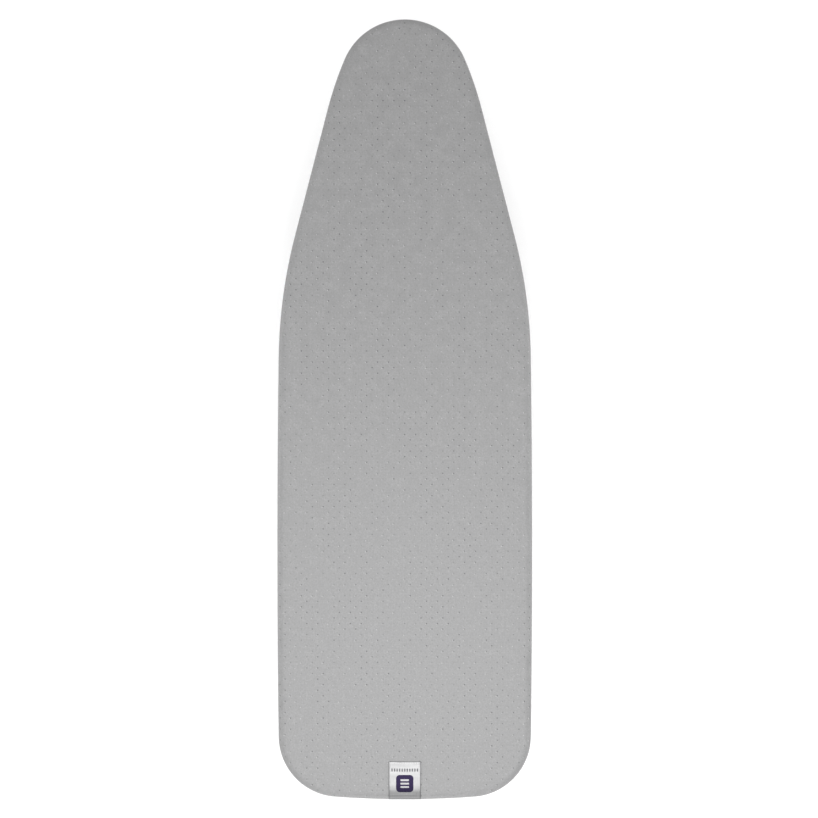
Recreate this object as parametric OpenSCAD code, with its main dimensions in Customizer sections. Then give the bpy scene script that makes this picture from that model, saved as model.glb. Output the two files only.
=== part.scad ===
// Table-top ironing board: a padded, cloth-covered steel deck on two folding U-shaped legs,
// with a fold-out hanging hook. Millimetres. +Z is up, +Y points to the nose, and the origin
// is on the table under the middle of the board.

/* [Board outline] */
// Length of the covered board, from the tail edge to the tip of the nose
board_length = 955; // [900:5:1000]
// Width of the covered board at its widest
board_width = 312; // [300:1:330]
// Radius of the rounded nose
nose_radius = 80; // [74:1:86]
// Angle that the nose arc turns through on each side, in degrees
nose_turn = 67; // [64:0.5:69]
// Radius of the arc that leads the nose into the tapered flank
flank_radius = 435; // [380:5:480]
// Angle between each tapered flank and the centre line, in degrees
taper_angle = 14.5; // [13.5:0.5:15.5]
// Radius of the shoulder between the taper and the side
shoulder_radius = 630; // [560:10:700]
// Angle that the slightly bowed side turns through, in degrees
side_turn = 1.5; // [1:0.1:2]
// Radius of the two tail corners
corner_radius = 74.5; // [68:0.5:80]
// Angle that half of the slightly bowed tail edge turns through, in degrees
tail_turn = 4.2; // [3:0.2:6]

/* [Heights and layers] */
// Height of the ironing surface above the table
surface_height = 160; // [155:1:170]
// Thickness of the cover cloth
cover_t = 0.8; // [0.6:0.1:1]
// Thickness of the foam pad
foam_t = 4.5; // [3:0.5:6]
// Thickness of the felt underlay
felt_t = 2; // [1:0.5:3]
// Thickness of the steel sheet of the panel, rim and rails
sheet_t = 1.2; // [1:0.1:1.5]
// Depth of the deck's edge rim
rim_depth = 12; // [11:0.5:13]
// Depth of the stiffening rails
rail_depth = 10; // [9:0.5:10.5]
// Width of the stiffening rails
rail_width = 20; // [18:1:22]

/* [Deck perforation] */
// Length of a diamond opening's pitch across the board
cell_width = 40; // [34:1:48]
// Pitch of the diamond openings along the board
cell_length = 20; // [18:1:26]
// Width of the steel strands between the openings
strand_width = 3.6; // [3:0.2:5]

/* [Legs] */
// Outer diameter of the leg tube
tube_d = 14; // [12:0.5:15]
// Wall of the leg tube
tube_wall = 1.2; // [1:0.1:1.5]
// Angle by which the open legs lean outward, in degrees
splay_angle = 12; // [8:1:14]
// Place of the front leg's pivot along the board
front_pivot_y = 200; // [180:5:205]
// Place of the rear leg's pivot along the board
rear_pivot_y = -320; // [-325:5:-300]
// Distance from the centre line to the front leg's uprights
front_leg_x = 68; // [64:1:70]
// Distance from the centre line to the rear leg's uprights
rear_leg_x = 95; // [85:1:97]
// Bend radius of the leg tube, to its centre line
bend_radius = 18; // [16:1:20]
// Diameter of the pivot rods
rod_d = 8; // [7:0.5:8.5]
// Radial running clearance of every pivot
pivot_play = 0.05; // [0.03:0.01:0.08]
// Radius of the rubber feet
foot_radius = 11; // [10.5:0.5:12]
// Length of the rubber feet
foot_length = 26; // [20:1:28]

/* [Hanging hook] */
// Diameter of the hook's wire
wire_d = 4; // [3.5:0.1:4.2]
// Reach of the hook from its pivot to the outside of its loop
hook_reach = 91; // [85:1:94]
// Place of the hook's pivot along the board
hook_pivot_y = -425; // [-428:1:-424]

/* [Cover fastening] */
// Width of the cover's lip under the board, up to its hem
lip_width = 32; // [30:1:34]
// Diameter of the drawcord
cord_d = 2.6; // [2.2:0.1:2.8]
// Width of the elastic tension straps
strap_width = 18; // [14:1:24]

/* [Hidden] */
$fn = 48;

// Turns of the arcs that follow from the driving angles
flank_turn = 90 - taper_angle - nose_turn;
shoulder_turn = taper_angle - side_turn / 2;
corner_turn = 90 - side_turn / 2 - tail_turn;

// The taper's length and the side's radius close the outline on the width and the length.
// Both unknowns enter the two sums linearly.
side_rise = 1 - cos(side_turn / 2);
fixed_x = nose_radius * sin(nose_turn)
    + flank_radius * (cos(taper_angle) - sin(nose_turn))
    + shoulder_radius * (cos(side_turn / 2) - cos(taper_angle));
corner_x = corner_radius * (cos(side_turn / 2) - sin(tail_turn));
fixed_y = nose_radius * (1 - cos(nose_turn))
    + flank_radius * (cos(nose_turn) - sin(taper_angle))
    + shoulder_radius * (sin(taper_angle) - sin(side_turn / 2))
    + corner_radius * (cos(tail_turn) - sin(side_turn / 2))
    + (board_width / 2 - corner_x) * tan(tail_turn / 2);
side_radius = (board_length - fixed_y - (board_width / 2 - fixed_x) / tan(taper_angle))
    / (2 * sin(side_turn / 2) - side_rise / tan(taper_angle) - side_rise * tan(tail_turn / 2));
taper_length = (board_width / 2 - fixed_x - side_radius * side_rise) / sin(taper_angle);
tail_radius = (board_width / 2 - side_radius * side_rise - corner_x) / sin(tail_turn);

// How far a facet of the outline may lie from its arc
chord_error = 0.15;

// Heights of the layers, from the ironing surface down
foam_top = surface_height - cover_t;
felt_top = foam_top - foam_t;
panel_top = felt_top - felt_t;
panel_z = panel_top - sheet_t;
rim_z = panel_z - rim_depth;
rail_z = panel_z - rail_depth;
lip_gap = 0.5;
lip_top = rim_z - lip_gap;
lip_z = lip_top - cover_t;

// Insets of the layers from the covered outline
foam_inset = cover_t + 0.2;
rim_inset = 3;
rim_flange = 7;
rail_end_inset = rim_inset + sheet_t + 0.2;
hem_outer = lip_width - 2;
hem_inner = lip_width + 6;
hem_height = 5;
hem_z = lip_z - 2.2;
cord_z = hem_z + hem_height / 2;
hem_seam_gap = 0.3;
hem_front_seam_y = 0.115 * board_length;
hem_rear_seam_y = corner_radius + 18 - board_length / 2;
cord_inset = (hem_outer + hem_inner) / 2;
cord_channel = cord_d / 2 + 0.2;

// Legs
bracket_t = 1.5;
plate_z = rail_z - bracket_t;
pivot_drop = 10;
pivot_z = plate_z - pivot_drop;
tube_r = tube_d / 2;
rod_r = rod_d / 2;
crossbar_z = foot_radius - 1;
leg_length = (pivot_z - crossbar_z) / cos(splay_angle);
leg_lean = (pivot_z - crossbar_z) * tan(splay_angle);
cheek_gap = 0.8;
cheek_in = tube_r + cheek_gap;
cheek_out = cheek_in + bracket_t;
cheek_r = 9;
flange_x = cheek_out + 9.7;
rivet_offset = cheek_out + 4.9;
stop_gap = 0.3;
stop_low = -16;
stop_high = -7;
tube_end = 5;
plug_t = 1.2;
plug_stem = 0.7;
cap_r = 6.5;
cap_t = 3;
cap_skin = 0.8;
washer_r = 6.4;
washer_t = 0.6;

// Rivets
rivet_r = 1.95;
rivet_hole_r = rivet_r + 0.05;

// Leg clips
clip_play = 0.3;
clip_wall = 3;
clip_rivet_y = 15.5;
clip_base_t = 2.5;
clip_half_base = 20;
clip_half_jaw = 9;
clip_mouth = 4;

// Hanging hook
wire_r = wire_d / 2;
hook_z = hem_z - 1 - wire_r;
hook_arm_x = 15;
hook_bend_r = 6;
ear_in = hook_arm_x + hook_bend_r + 0.3;
ear_out = ear_in + bracket_t;
ear_r = 5;
hook_plate_half = 9;
hook_rivet_x = 8;

// Cord lock
lock_x = 60;
lock_y = hook_pivot_y + 22;
lock_r = 7.5;
lock_bore_r = 5.6;
lock_left = -13;
lock_right = 11;
lock_wall = 1.5;
lock_travel = 3;
plunger_r = 5.5;
plunger_left = -5;
button_r = 6.8;
button_left = lock_right + lock_travel + 0.2;
button_t = 2.8;
spring_wire_r = 0.4;
spring_pitch = 1.8;
cord_offset = cord_d / 2 + 0.2;
knot_y = lock_y + 18;
knot_r = 3.6;

// Straps and label
front_strap_y = 0;
rear_strap_y = -110;
strap_t = 1.5;
strap_clip_t = 1.5;
strap_clip_gap = 0.3;
strap_clip_grip = 6;
label_width = 39;
label_length = 44;
label_drop = 14;
label_t = 0.4;

CLOTH = [0.66, 0.66, 0.67];
SATIN = [0.95, 0.95, 0.94];
TAPE = [0.55, 0.56, 0.57];
CORD = [0.9, 0.9, 0.88];
FOAM = [0.93, 0.9, 0.78];
FELT = [0.8, 0.8, 0.78];
STEEL = [0.78, 0.79, 0.8];
BRIGHT = [0.7, 0.71, 0.72];
PLASTIC = [0.16, 0.17, 0.18];
RUBBER = [0.1, 0.1, 0.11];
ELASTIC = [0.3, 0.31, 0.33];

// ---------- Outline ----------

// Right half of the outline, from the nose to the tail. An arc is [radius, turn, facets] and
// a straight is [0, length]. Every arc turns the same way, so an inset only shortens radii.
function facets(radius, turn) = ceil(turn / (2 * acos(1 - chord_error / radius)));
function arc(radius, turn, inset) = [radius - inset, turn, facets(radius, turn)];
function half_outline(inset) = [
    arc(nose_radius, nose_turn, inset),
    arc(flank_radius, flank_turn, inset),
    [0, taper_length],
    arc(shoulder_radius, shoulder_turn, inset),
    arc(side_radius, side_turn, inset),
    arc(corner_radius, corner_turn, inset),
    arc(tail_radius, tail_turn, inset)
];

// A heading is measured clockwise from +X, so the walk starts at 0 and ends at 180.
function arc_point(start, heading, radius, turn) = start + radius * [
    sin(heading + turn) - sin(heading),
    cos(heading + turn) - cos(heading)
];
function walk(segments, start, heading = 0, i = 0) =
    i == len(segments) ? [] :
    segments[i][0] == 0
        ? let (stop = start + segments[i][1] * [cos(heading), -sin(heading)])
            concat([stop], walk(segments, stop, heading, i + 1))
        : let (
            radius = segments[i][0],
            turn = segments[i][1],
            n = segments[i][2],
            points = [for (k = [1:n]) arc_point(start, heading, radius, turn * k / n)]
        )
            concat(points, walk(segments, points[n - 1], heading + turn, i + 1));
function right_side(inset) =
    let (tip = [0, board_length / 2 - inset])
    concat([tip], walk(half_outline(inset), tip));
function outline(inset) =
    let (right = right_side(inset), last = len(right) - 1)
    concat(
        [for (i = [0:last - 1]) right[i]],
        [[0, right[last][1]]],
        [for (i = [last - 1:-1:1]) [-right[i][0], right[i][1]]]
    );

module slab(inset, z0, z1) {
    translate([0, 0, z0]) linear_extrude(z1 - z0) polygon(outline(inset));
}

module band(outer, inner, z0, z1) {
    translate([0, 0, z0]) linear_extrude(z1 - z0) difference() {
        polygon(outline(outer));
        polygon(outline(inner));
    }
}

// ---------- Shared shapes ----------

// A box from its two corners
module block(low, high) {
    translate(low) cube(high - low);
}

// A cylinder along X, centred on x = 0
module bar_x(r, length) {
    rotate([0, 90, 0]) cylinder(r = r, h = length, center = true);
}

// A bar along X from x0 to x1
module span_x(r, x0, x1) {
    translate([(x0 + x1) / 2, 0, 0]) bar_x(r, x1 - x0);
}

// Repeats its children on both sides of the centre line
module sides() {
    children();
    mirror([1, 0, 0]) children();
}

// A domed rivet along Z that grips from z = 0 up to z = grip
module rivet(grip) {
    rotate_extrude() polygon([
        [0, -1.5], [1.8, -1.3], [3, -0.8], [3.6, 0], [rivet_r, 0], [rivet_r, grip],
        [3, grip], [2.6, grip + 0.8], [0, grip + 0.8]
    ]);
}

module rivet_hole(x, y) {
    translate([x, y, plate_z - 5]) cylinder(r = rivet_hole_r, h = 10);
}

// Places a leg's parts: the front leg leans to +Y, and the rear leg is its mirror image
module at_front_pivot() {
    translate([0, front_pivot_y, pivot_z]) children();
}

module at_rear_pivot() {
    translate([0, rear_pivot_y, pivot_z]) mirror([0, 1, 0]) children();
}

// ---------- Cover and padding ----------

module label_shape() {
    y = -board_length / 2;
    intersection() {
        block([-label_width / 2, y - 5, surface_height - label_drop],
            [label_width / 2, y + label_length, surface_height]);
        union() {
            slab(0, surface_height - label_t, surface_height);
            band(0, label_t, surface_height - label_drop, surface_height);
        }
    }
}

module cover() {
    color(CLOTH) difference() {
        slab(0, lip_z, surface_height);
        slab(cover_t, lip_top, foam_top);
        slab(lip_width, lip_z - 1, lip_top + 1);
        label_shape();
    }
}

module cover_label() {
    color(SATIN) label_shape();
}

module cord_tails(r, y0, y1) {
    for (side = [-1, 1])
        translate([lock_x + side * cord_offset, y0, cord_z])
            rotate([-90, 0, 0]) cylinder(r = r, h = y1 - y0, $fn = 24);
}

hem_exit_y = -board_length / 2 + cord_inset;

module hem_binding() {
    color(TAPE) difference() {
        band(hem_outer, hem_inner, hem_z, hem_z + hem_height);
        band(hem_outer - 1, lip_width, lip_z, lip_top);
        band(cord_inset - cord_channel, cord_inset + cord_channel,
            cord_z - cord_channel, cord_z + cord_channel);
        cord_tails(cord_d / 2 + 0.15, hem_exit_y, hem_exit_y + 12);
        hem_seams();
    }
}

// The small gaps between the six lengths of tape
module hem_seams() {
    low = hem_z - 1;
    high = hem_z + hem_height + 1;
    gap = hem_seam_gap / 2;
    block([-gap, -board_length / 2, low], [gap, board_length / 2, high]);
    for (y = [hem_front_seam_y, hem_rear_seam_y])
        block([-board_width / 2, y - gap, low], [board_width / 2, y + gap, high]);
}

module drawcord() {
    r = cord_d / 2;
    color(CORD) difference() {
        union() {
            band(cord_inset - r, cord_inset + r, cord_z - r, cord_z + r);
            cord_tails(r, hem_exit_y + 1, knot_y);
            translate([lock_x, knot_y, cord_z]) sphere(r = knot_r);
        }
        translate([lock_x, hem_exit_y, cord_z]) cube([0.4, 12, 12], center = true);
    }
}

module foam_pad() {
    color(FOAM) slab(foam_inset, felt_top, foam_top);
}

module felt_underlay() {
    color(FELT) slab(rim_inset, panel_top, felt_top);
}

// ---------- Cord lock ----------

module at_lock() {
    translate([lock_x, lock_y, cord_z]) children();
}

// The slot that both tails of the cord pass through, from x0 to x1
module cord_slot(x0, x1) {
    half_height = cord_d / 2 + 0.3;
    block([x0, -lock_r - 1, -half_height], [x1, lock_r + 1, half_height]);
}

module cord_lock_body() {
    slot = cord_d + 0.5;
    color(PLASTIC) at_lock() difference() {
        span_x(lock_r, lock_left, lock_right);
        cord_slot(-slot, slot);
        span_x(lock_bore_r, lock_left + lock_wall, lock_right + 1);
    }
}

module cord_lock_plunger() {
    slot = cord_d + 0.4;
    color(PLASTIC) at_lock() difference() {
        union() {
            span_x(plunger_r, plunger_left, button_left + 1);
            span_x(button_r, button_left, button_left + button_t);
        }
        cord_slot(-slot, slot + lock_travel + 0.3);
    }
}

module cord_lock_spring() {
    first = lock_left + lock_wall + spring_wire_r + 0.2;
    color(BRIGHT) at_lock()
        for (x = [first:spring_pitch:plunger_left - spring_wire_r])
            translate([x, 0, 0]) rotate([0, 90, 0]) rotate_extrude()
                translate([plunger_r - 1.5, 0]) circle(r = spring_wire_r, $fn = 16);
}

// ---------- Steel deck ----------

// One diamond opening of the expanded panel, centred on the origin
module diamond() {
    x = cell_width / 2 - strand_width;
    y = (cell_length - strand_width) / 2;
    polygon([[x, 0], [0, y], [-x, 0], [0, -y]]);
}

// How far the outline reaches from the centre line at a place along the board
function half_width_at(y, points) = max([
    0,
    for (i = [0:len(points) - 2])
        if (points[i][1] >= y && points[i + 1][1] < y)
            points[i][0] + (points[i + 1][0] - points[i][0])
                * (points[i][1] - y) / (points[i][1] - points[i + 1][1])
]);

module deck_panel() {
    edge = right_side(rim_inset + 8);
    rows = floor((board_length / 2 - rim_inset - 16) / cell_length * 2);
    color(STEEL) translate([0, 0, panel_z]) linear_extrude(sheet_t) difference() {
        polygon(outline(rim_inset));
        for (row = [-rows:rows]) {
            y = row * cell_length / 2;
            shift = (row % 2 == 0) ? 0 : cell_width / 2;
            reach = min(half_width_at(y - cell_length / 2, edge),
                half_width_at(y + cell_length / 2, edge)) - cell_width / 2 + strand_width;
            count = floor((reach - shift) / cell_width);
            if (count >= 0)
                for (column = [0:count], side = [-1, 1]) {
                    x = column * cell_width + shift;
                    if (x > 0 || side > 0) translate([side * x, y]) diamond();
                }
        }
    }
}

module deck_rim() {
    color(STEEL) {
        difference() {
            slab(rim_inset, rim_z, panel_z);
            slab(rim_inset + sheet_t, rim_z + sheet_t, panel_z + 1);
            slab(rim_inset + rim_flange, rim_z - 1, rim_z + sheet_t + 1);
        }
    }
}

// Upward-opening channel along X, centred on y = 0
module channel_x(length) {
    difference() {
        block([-length / 2, -rail_width / 2, rail_z], [length / 2, rail_width / 2, panel_z]);
        block([-length / 2 - 1, -rail_width / 2 + sheet_t, rail_z + sheet_t],
            [length / 2 + 1, rail_width / 2 - sheet_t, panel_z + 1]);
    }
}

module cross_rail(y) {
    intersection() {
        translate([0, y, 0]) channel_x(board_width);
        slab(rail_end_inset, rail_z, panel_z);
    }
}

// Channel along Y from y0 to y1 on the centre line
module spine_rail(y0, y1) {
    translate([0, (y0 + y1) / 2, 0]) rotate([0, 0, 90]) channel_x(y1 - y0);
}

module front_cross_rail() {
    color(STEEL) difference() {
        cross_rail(front_pivot_y);
        sides() for (x = [-rivet_offset, rivet_offset])
            rivet_hole(front_leg_x + x, front_pivot_y);
    }
}

module rear_cross_rail() {
    color(STEEL) difference() {
        cross_rail(rear_pivot_y);
        sides() for (x = [-rivet_offset, rivet_offset])
            rivet_hole(rear_leg_x + x, rear_pivot_y);
    }
}

module tail_cross_rail() {
    color(STEEL) difference() {
        cross_rail(hook_pivot_y);
        sides() rivet_hole(hook_rivet_x, hook_pivot_y);
    }
}

module nose_spine_rail() {
    color(STEEL)
        spine_rail(front_pivot_y + rail_width / 2, board_length / 2 - rail_end_inset - 1);
}

module mid_spine_rail() {
    color(STEEL) difference() {
        spine_rail(rear_pivot_y + rail_width / 2, front_pivot_y - rail_width / 2);
        for (y = [front_clip_y, rear_clip_y], dy = [-clip_rivet_y, clip_rivet_y])
            rivet_hole(0, y + dy);
    }
}

module tail_spine_rail() {
    color(STEEL) spine_rail(hook_pivot_y + rail_width / 2, rear_pivot_y - rail_width / 2);
}

// ---------- Hinge brackets ----------

// Pressed bracket around a front upright, in the pivot's frame. Its two cheeks carry the rod,
// and the wall between them stops the upright when the leg is open.
module bracket() {
    stop_y = tube_r + stop_gap;
    difference() {
        union() {
            block([-flange_x, -rail_width / 2, pivot_drop],
                [flange_x, rail_width / 2, pivot_drop + bracket_t]);
            for (side = [-1, 1])
                translate([side * (cheek_in + cheek_out) / 2, 0, 0]) cheek(stop_y);
            rotate([splay_angle, 0, 0])
                block([-cheek_out, stop_y, stop_low], [cheek_out, stop_y + bracket_t, stop_high]);
        }
        bar_x(rod_r + pivot_play, 3 * flange_x);
        for (x = [-rivet_offset, rivet_offset])
            translate([x, 0, pivot_drop - 1]) cylinder(r = rivet_hole_r, h = bracket_t + 2);
    }
}

module cheek(stop_y) {
    half = bracket_t / 2;
    bar_x(cheek_r, bracket_t);
    block([-half, -cheek_r, 0], [half, cheek_r, pivot_drop + 0.5]);
    rotate([splay_angle, 0, 0]) block([-half, 0, stop_low], [half, stop_y + bracket_t, 0]);
}

module front_left_bracket() {
    color(STEEL) at_front_pivot() translate([-front_leg_x, 0, 0]) bracket();
}

module front_right_bracket() {
    color(STEEL) at_front_pivot() translate([front_leg_x, 0, 0]) bracket();
}

module rear_left_bracket() {
    color(STEEL) at_rear_pivot() translate([-rear_leg_x, 0, 0]) bracket();
}

module rear_right_bracket() {
    color(STEEL) at_rear_pivot() translate([rear_leg_x, 0, 0]) bracket();
}

module bracket_rivets() {
    grip = bracket_t + sheet_t;
    color(BRIGHT)
        for (leg = [[front_leg_x, front_pivot_y], [rear_leg_x, rear_pivot_y]],
            side = [-1, 1], x = [-rivet_offset, rivet_offset])
            translate([side * leg[0] + x, leg[1], plate_z]) rivet(grip);
}

// ---------- Legs ----------

// Half of a U-shaped leg's path, swept by a round section or a ring of the given radii,
// in the frame of the leaning leg
module leg_half(half_width, outer_r, inner_r) {
    drop = leg_length - bend_radius;
    translate([half_width, 0, -drop]) tube_z(outer_r, inner_r, drop + tube_end);
    translate([half_width - bend_radius, 0, -drop]) rotate([90, 0, 0])
        rotate([0, 0, -90]) rotate_extrude(angle = 90) translate([bend_radius, 0])
            tube_section(outer_r, inner_r);
}

module tube_section(outer_r, inner_r) {
    difference() {
        circle(r = outer_r);
        circle(r = inner_r);
    }
}

module tube_z(outer_r, inner_r, length) {
    linear_extrude(length) tube_section(outer_r, inner_r);
}

module leg_tube(half_width) {
    inner_r = tube_r - tube_wall;
    straight = half_width - bend_radius;
    color(STEEL) rotate([splay_angle, 0, 0]) difference() {
        union() {
            leg_half(half_width, tube_r, inner_r);
            mirror([1, 0, 0]) leg_half(half_width, tube_r, inner_r);
            translate([-straight, 0, -leg_length]) rotate([0, 90, 0])
                tube_z(tube_r, inner_r, 2 * straight);
        }
        bar_x(rod_r + pivot_play, 3 * half_width);
    }
}

module pivot_rod(half_width) {
    color(BRIGHT) bar_x(rod_r, 2 * (half_width + cheek_out + cap_t - cap_skin + 0.3));
}

module rod_caps(half_width) {
    inner = half_width + cheek_out + 0.3;
    color(PLASTIC) sides() difference() {
        span_x(cap_r, inner, inner + cap_t);
        span_x(rod_r, inner - 1, inner + cap_t - cap_skin);
    }
}

module friction_washers(half_width) {
    middle = tube_r + cheek_gap / 2;
    color(BRIGHT) sides() for (x = [half_width - middle, half_width + middle])
        translate([x, 0, 0]) difference() {
            bar_x(washer_r, washer_t);
            bar_x(rod_r + pivot_play, 2 * washer_t);
        }
}

module leg_plugs(half_width) {
    color(PLASTIC) rotate([splay_angle, 0, 0]) sides() translate([half_width, 0, tube_end]) {
        cylinder(r = tube_r, h = plug_t);
        translate([0, 0, -plug_stem])
            cylinder(r = tube_r - tube_wall - 0.05, h = plug_stem + plug_t / 2);
    }
}

// Rubber sleeve on the crossbar with a flat sole on the table
module foot(half_width, side) {
    inner_end = half_width - bend_radius - foot_length;
    color(RUBBER) translate([side * (inner_end + foot_length / 2), leg_lean, -pivot_z])
        difference() {
            translate([0, 0, crossbar_z]) bar_x(foot_radius, foot_length);
            translate([0, 0, crossbar_z]) bar_x(tube_r + 0.05, foot_length + 2);
            block([-foot_length, -foot_radius, -5], [foot_length, foot_radius, 0]);
        }
}

module front_leg_tube() { at_front_pivot() leg_tube(front_leg_x); }
module rear_leg_tube() { at_rear_pivot() leg_tube(rear_leg_x); }
module front_pivot_rod() { at_front_pivot() pivot_rod(front_leg_x); }
module rear_pivot_rod() { at_rear_pivot() pivot_rod(rear_leg_x); }
module front_rod_caps() { at_front_pivot() rod_caps(front_leg_x); }
module rear_rod_caps() { at_rear_pivot() rod_caps(rear_leg_x); }
module front_friction_washers() { at_front_pivot() friction_washers(front_leg_x); }
module rear_friction_washers() { at_rear_pivot() friction_washers(rear_leg_x); }
module front_leg_plugs() { at_front_pivot() leg_plugs(front_leg_x); }
module rear_leg_plugs() { at_rear_pivot() leg_plugs(rear_leg_x); }
module front_left_foot() { at_front_pivot() foot(front_leg_x, -1); }
module front_right_foot() { at_front_pivot() foot(front_leg_x, 1); }
module rear_left_foot() { at_rear_pivot() foot(rear_leg_x, -1); }
module rear_right_foot() { at_rear_pivot() foot(rear_leg_x, 1); }

// ---------- Clips that hold the folded legs ----------

front_clip_y = front_pivot_y - leg_length;
rear_clip_y = rear_pivot_y + leg_length;

module leg_clip(y) {
    slot_r = tube_r + clip_play;
    jaw_y = slot_r + clip_wall;
    color(PLASTIC) translate([0, y, 0]) difference() {
        union() {
            block([-rail_width / 2, -clip_half_base, rail_z - clip_base_t],
                [rail_width / 2, clip_half_base, rail_z]);
            block([-clip_half_jaw, -jaw_y, pivot_z - clip_mouth],
                [clip_half_jaw, jaw_y, rail_z - clip_base_t / 2]);
        }
        translate([0, 0, pivot_z]) bar_x(slot_r, 2 * rail_width);
        block([-rail_width, -slot_r, pivot_z - 2 * clip_mouth], [rail_width, slot_r, pivot_z]);
        for (dy = [-clip_rivet_y, clip_rivet_y]) rivet_hole(0, dy);
    }
}

module front_leg_clip() { leg_clip(front_clip_y); }
module rear_leg_clip() { leg_clip(rear_clip_y); }

module clip_rivets() {
    color(BRIGHT)
        for (y = [front_clip_y, rear_clip_y], dy = [-clip_rivet_y, clip_rivet_y])
            translate([0, y + dy, rail_z - clip_base_t]) rivet(clip_base_t + sheet_t);
}

// ---------- Hanging hook ----------

module hanging_hook() {
    arm_y = hook_reach - wire_r - hook_arm_x;
    color(BRIGHT) translate([0, hook_pivot_y, hook_z]) {
        sides() {
            translate([hook_arm_x + hook_bend_r, 0, 0]) rotate([0, 90, 0])
                cylinder(r = wire_r, h = ear_out + 2 - hook_arm_x - hook_bend_r);
            translate([hook_arm_x + hook_bend_r, hook_bend_r, 0]) rotate([0, 0, 180])
                wire_bend(hook_bend_r, 90);
            translate([hook_arm_x, hook_bend_r, 0]) rotate([-90, 0, 0])
                cylinder(r = wire_r, h = arm_y - hook_bend_r);
        }
        translate([0, arm_y, 0]) wire_bend(hook_arm_x, 180);
    }
}

module wire_bend(radius, turn) {
    rotate_extrude(angle = turn) translate([radius, 0]) circle(r = wire_r);
}

module hook_bracket() {
    half_x = ear_out + 3;
    color(BRIGHT) translate([0, hook_pivot_y, 0]) difference() {
        union() {
            block([-half_x, -hook_plate_half, plate_z], [half_x, hook_plate_half, rail_z]);
            sides() translate([0, 0, hook_z]) {
                span_x(ear_r, ear_in, ear_out);
                block([ear_in, -ear_r, 0], [ear_out, ear_r, plate_z - hook_z + 0.5]);
            }
        }
        translate([0, 0, hook_z]) bar_x(wire_r + pivot_play, 3 * ear_out);
        sides() rivet_hole(hook_rivet_x, 0);
    }
}

module hook_rivets() {
    color(BRIGHT) for (side = [-1, 1])
        translate([side * hook_rivet_x, hook_pivot_y, plate_z]) rivet(bracket_t + sheet_t);
}

// ---------- Straps that tension the cover ----------

clip_in = hem_inner + 0.3;

function lip_edge(y) = half_width_at(y, right_side(clip_in));

module tension_strap(y) {
    reach = lip_edge(y) - strap_clip_t;
    color(ELASTIC) block([-reach, y - strap_width / 2, cord_z - strap_t / 2],
        [reach, y + strap_width / 2, cord_z + strap_t / 2]);
}

// C-shaped clips that grip the hem from the middle of the board
module strap_clips(y) {
    x = lip_edge(y);
    half = strap_width / 2;
    low = hem_z - strap_clip_gap;
    high = hem_z + hem_height + strap_clip_gap;
    color(PLASTIC) sides() {
        block([x - strap_clip_t, y - half, low - strap_clip_t], [x, y + half, high + strap_clip_t]);
        for (z = [low - strap_clip_t, high])
            block([x - strap_clip_t / 2, y - half, z],
                [x + strap_clip_grip, y + half, z + strap_clip_t]);
    }
}

module front_tension_strap() { tension_strap(front_strap_y); }
module rear_tension_strap() { tension_strap(rear_strap_y); }
module front_strap_clips() { strap_clips(front_strap_y); }
module rear_strap_clips() { strap_clips(rear_strap_y); }

// ---------- Nodes ----------

cover();
cover_label();
hem_binding();
drawcord();
cord_lock_body();
cord_lock_plunger();
cord_lock_spring();
foam_pad();
felt_underlay();
deck_panel();
deck_rim();
front_cross_rail();
rear_cross_rail();
tail_cross_rail();
nose_spine_rail();
mid_spine_rail();
tail_spine_rail();
front_left_bracket();
front_right_bracket();
rear_left_bracket();
rear_right_bracket();
bracket_rivets();
front_leg_tube();
rear_leg_tube();
front_pivot_rod();
rear_pivot_rod();
front_rod_caps();
rear_rod_caps();
front_friction_washers();
rear_friction_washers();
front_leg_plugs();
rear_leg_plugs();
front_left_foot();
front_right_foot();
rear_left_foot();
rear_right_foot();
front_leg_clip();
rear_leg_clip();
clip_rivets();
hanging_hook();
hook_bracket();
hook_rivets();
front_tension_strap();
rear_tension_strap();
front_strap_clips();
rear_strap_clips();
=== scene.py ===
"""Looks of a small table-top ironing board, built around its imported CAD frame.

Everything is in metres in the frame's axes: +Z up from the table, +Y towards the nose.
"""
import math

import bmesh
import bpy
import numpy as np
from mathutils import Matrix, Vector, noise
from mathutils.geometry import delaunay_2d_cdt


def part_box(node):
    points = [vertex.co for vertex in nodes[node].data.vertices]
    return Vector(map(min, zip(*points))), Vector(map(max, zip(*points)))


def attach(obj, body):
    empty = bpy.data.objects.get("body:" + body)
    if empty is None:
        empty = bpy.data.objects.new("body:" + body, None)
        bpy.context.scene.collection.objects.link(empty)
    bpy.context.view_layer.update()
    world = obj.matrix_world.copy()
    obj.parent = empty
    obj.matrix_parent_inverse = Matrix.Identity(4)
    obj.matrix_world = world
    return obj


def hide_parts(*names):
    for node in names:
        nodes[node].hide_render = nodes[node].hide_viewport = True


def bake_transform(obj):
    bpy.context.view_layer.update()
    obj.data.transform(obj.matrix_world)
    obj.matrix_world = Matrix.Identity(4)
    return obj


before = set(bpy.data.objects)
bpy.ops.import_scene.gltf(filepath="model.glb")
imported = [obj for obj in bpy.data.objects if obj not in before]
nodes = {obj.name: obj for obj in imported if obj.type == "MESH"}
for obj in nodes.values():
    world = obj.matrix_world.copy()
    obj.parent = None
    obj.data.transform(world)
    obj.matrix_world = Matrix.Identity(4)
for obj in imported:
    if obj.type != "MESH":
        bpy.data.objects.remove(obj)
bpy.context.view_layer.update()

MM = 0.001


def low(node):
    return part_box(node)[0]


def high(node):
    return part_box(node)[1]


def middle(node):
    return (low(node) + high(node)) / 2


def add_object(name, data):
    made = bpy.data.objects.new(name, data)
    bpy.context.scene.collection.objects.link(made)
    return made


# ---------- Camera ----------

# The view is straight down on the ironing surface, through a long lens.
LENS_MM = 135
SENSOR_MM = 36
VIEW_WIDTH = 1.0016
VIEW_CENTRE = (0.0052, 0.0004)
FAR_CLIP = 50
SURFACE_Z = high("cover").z
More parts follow.
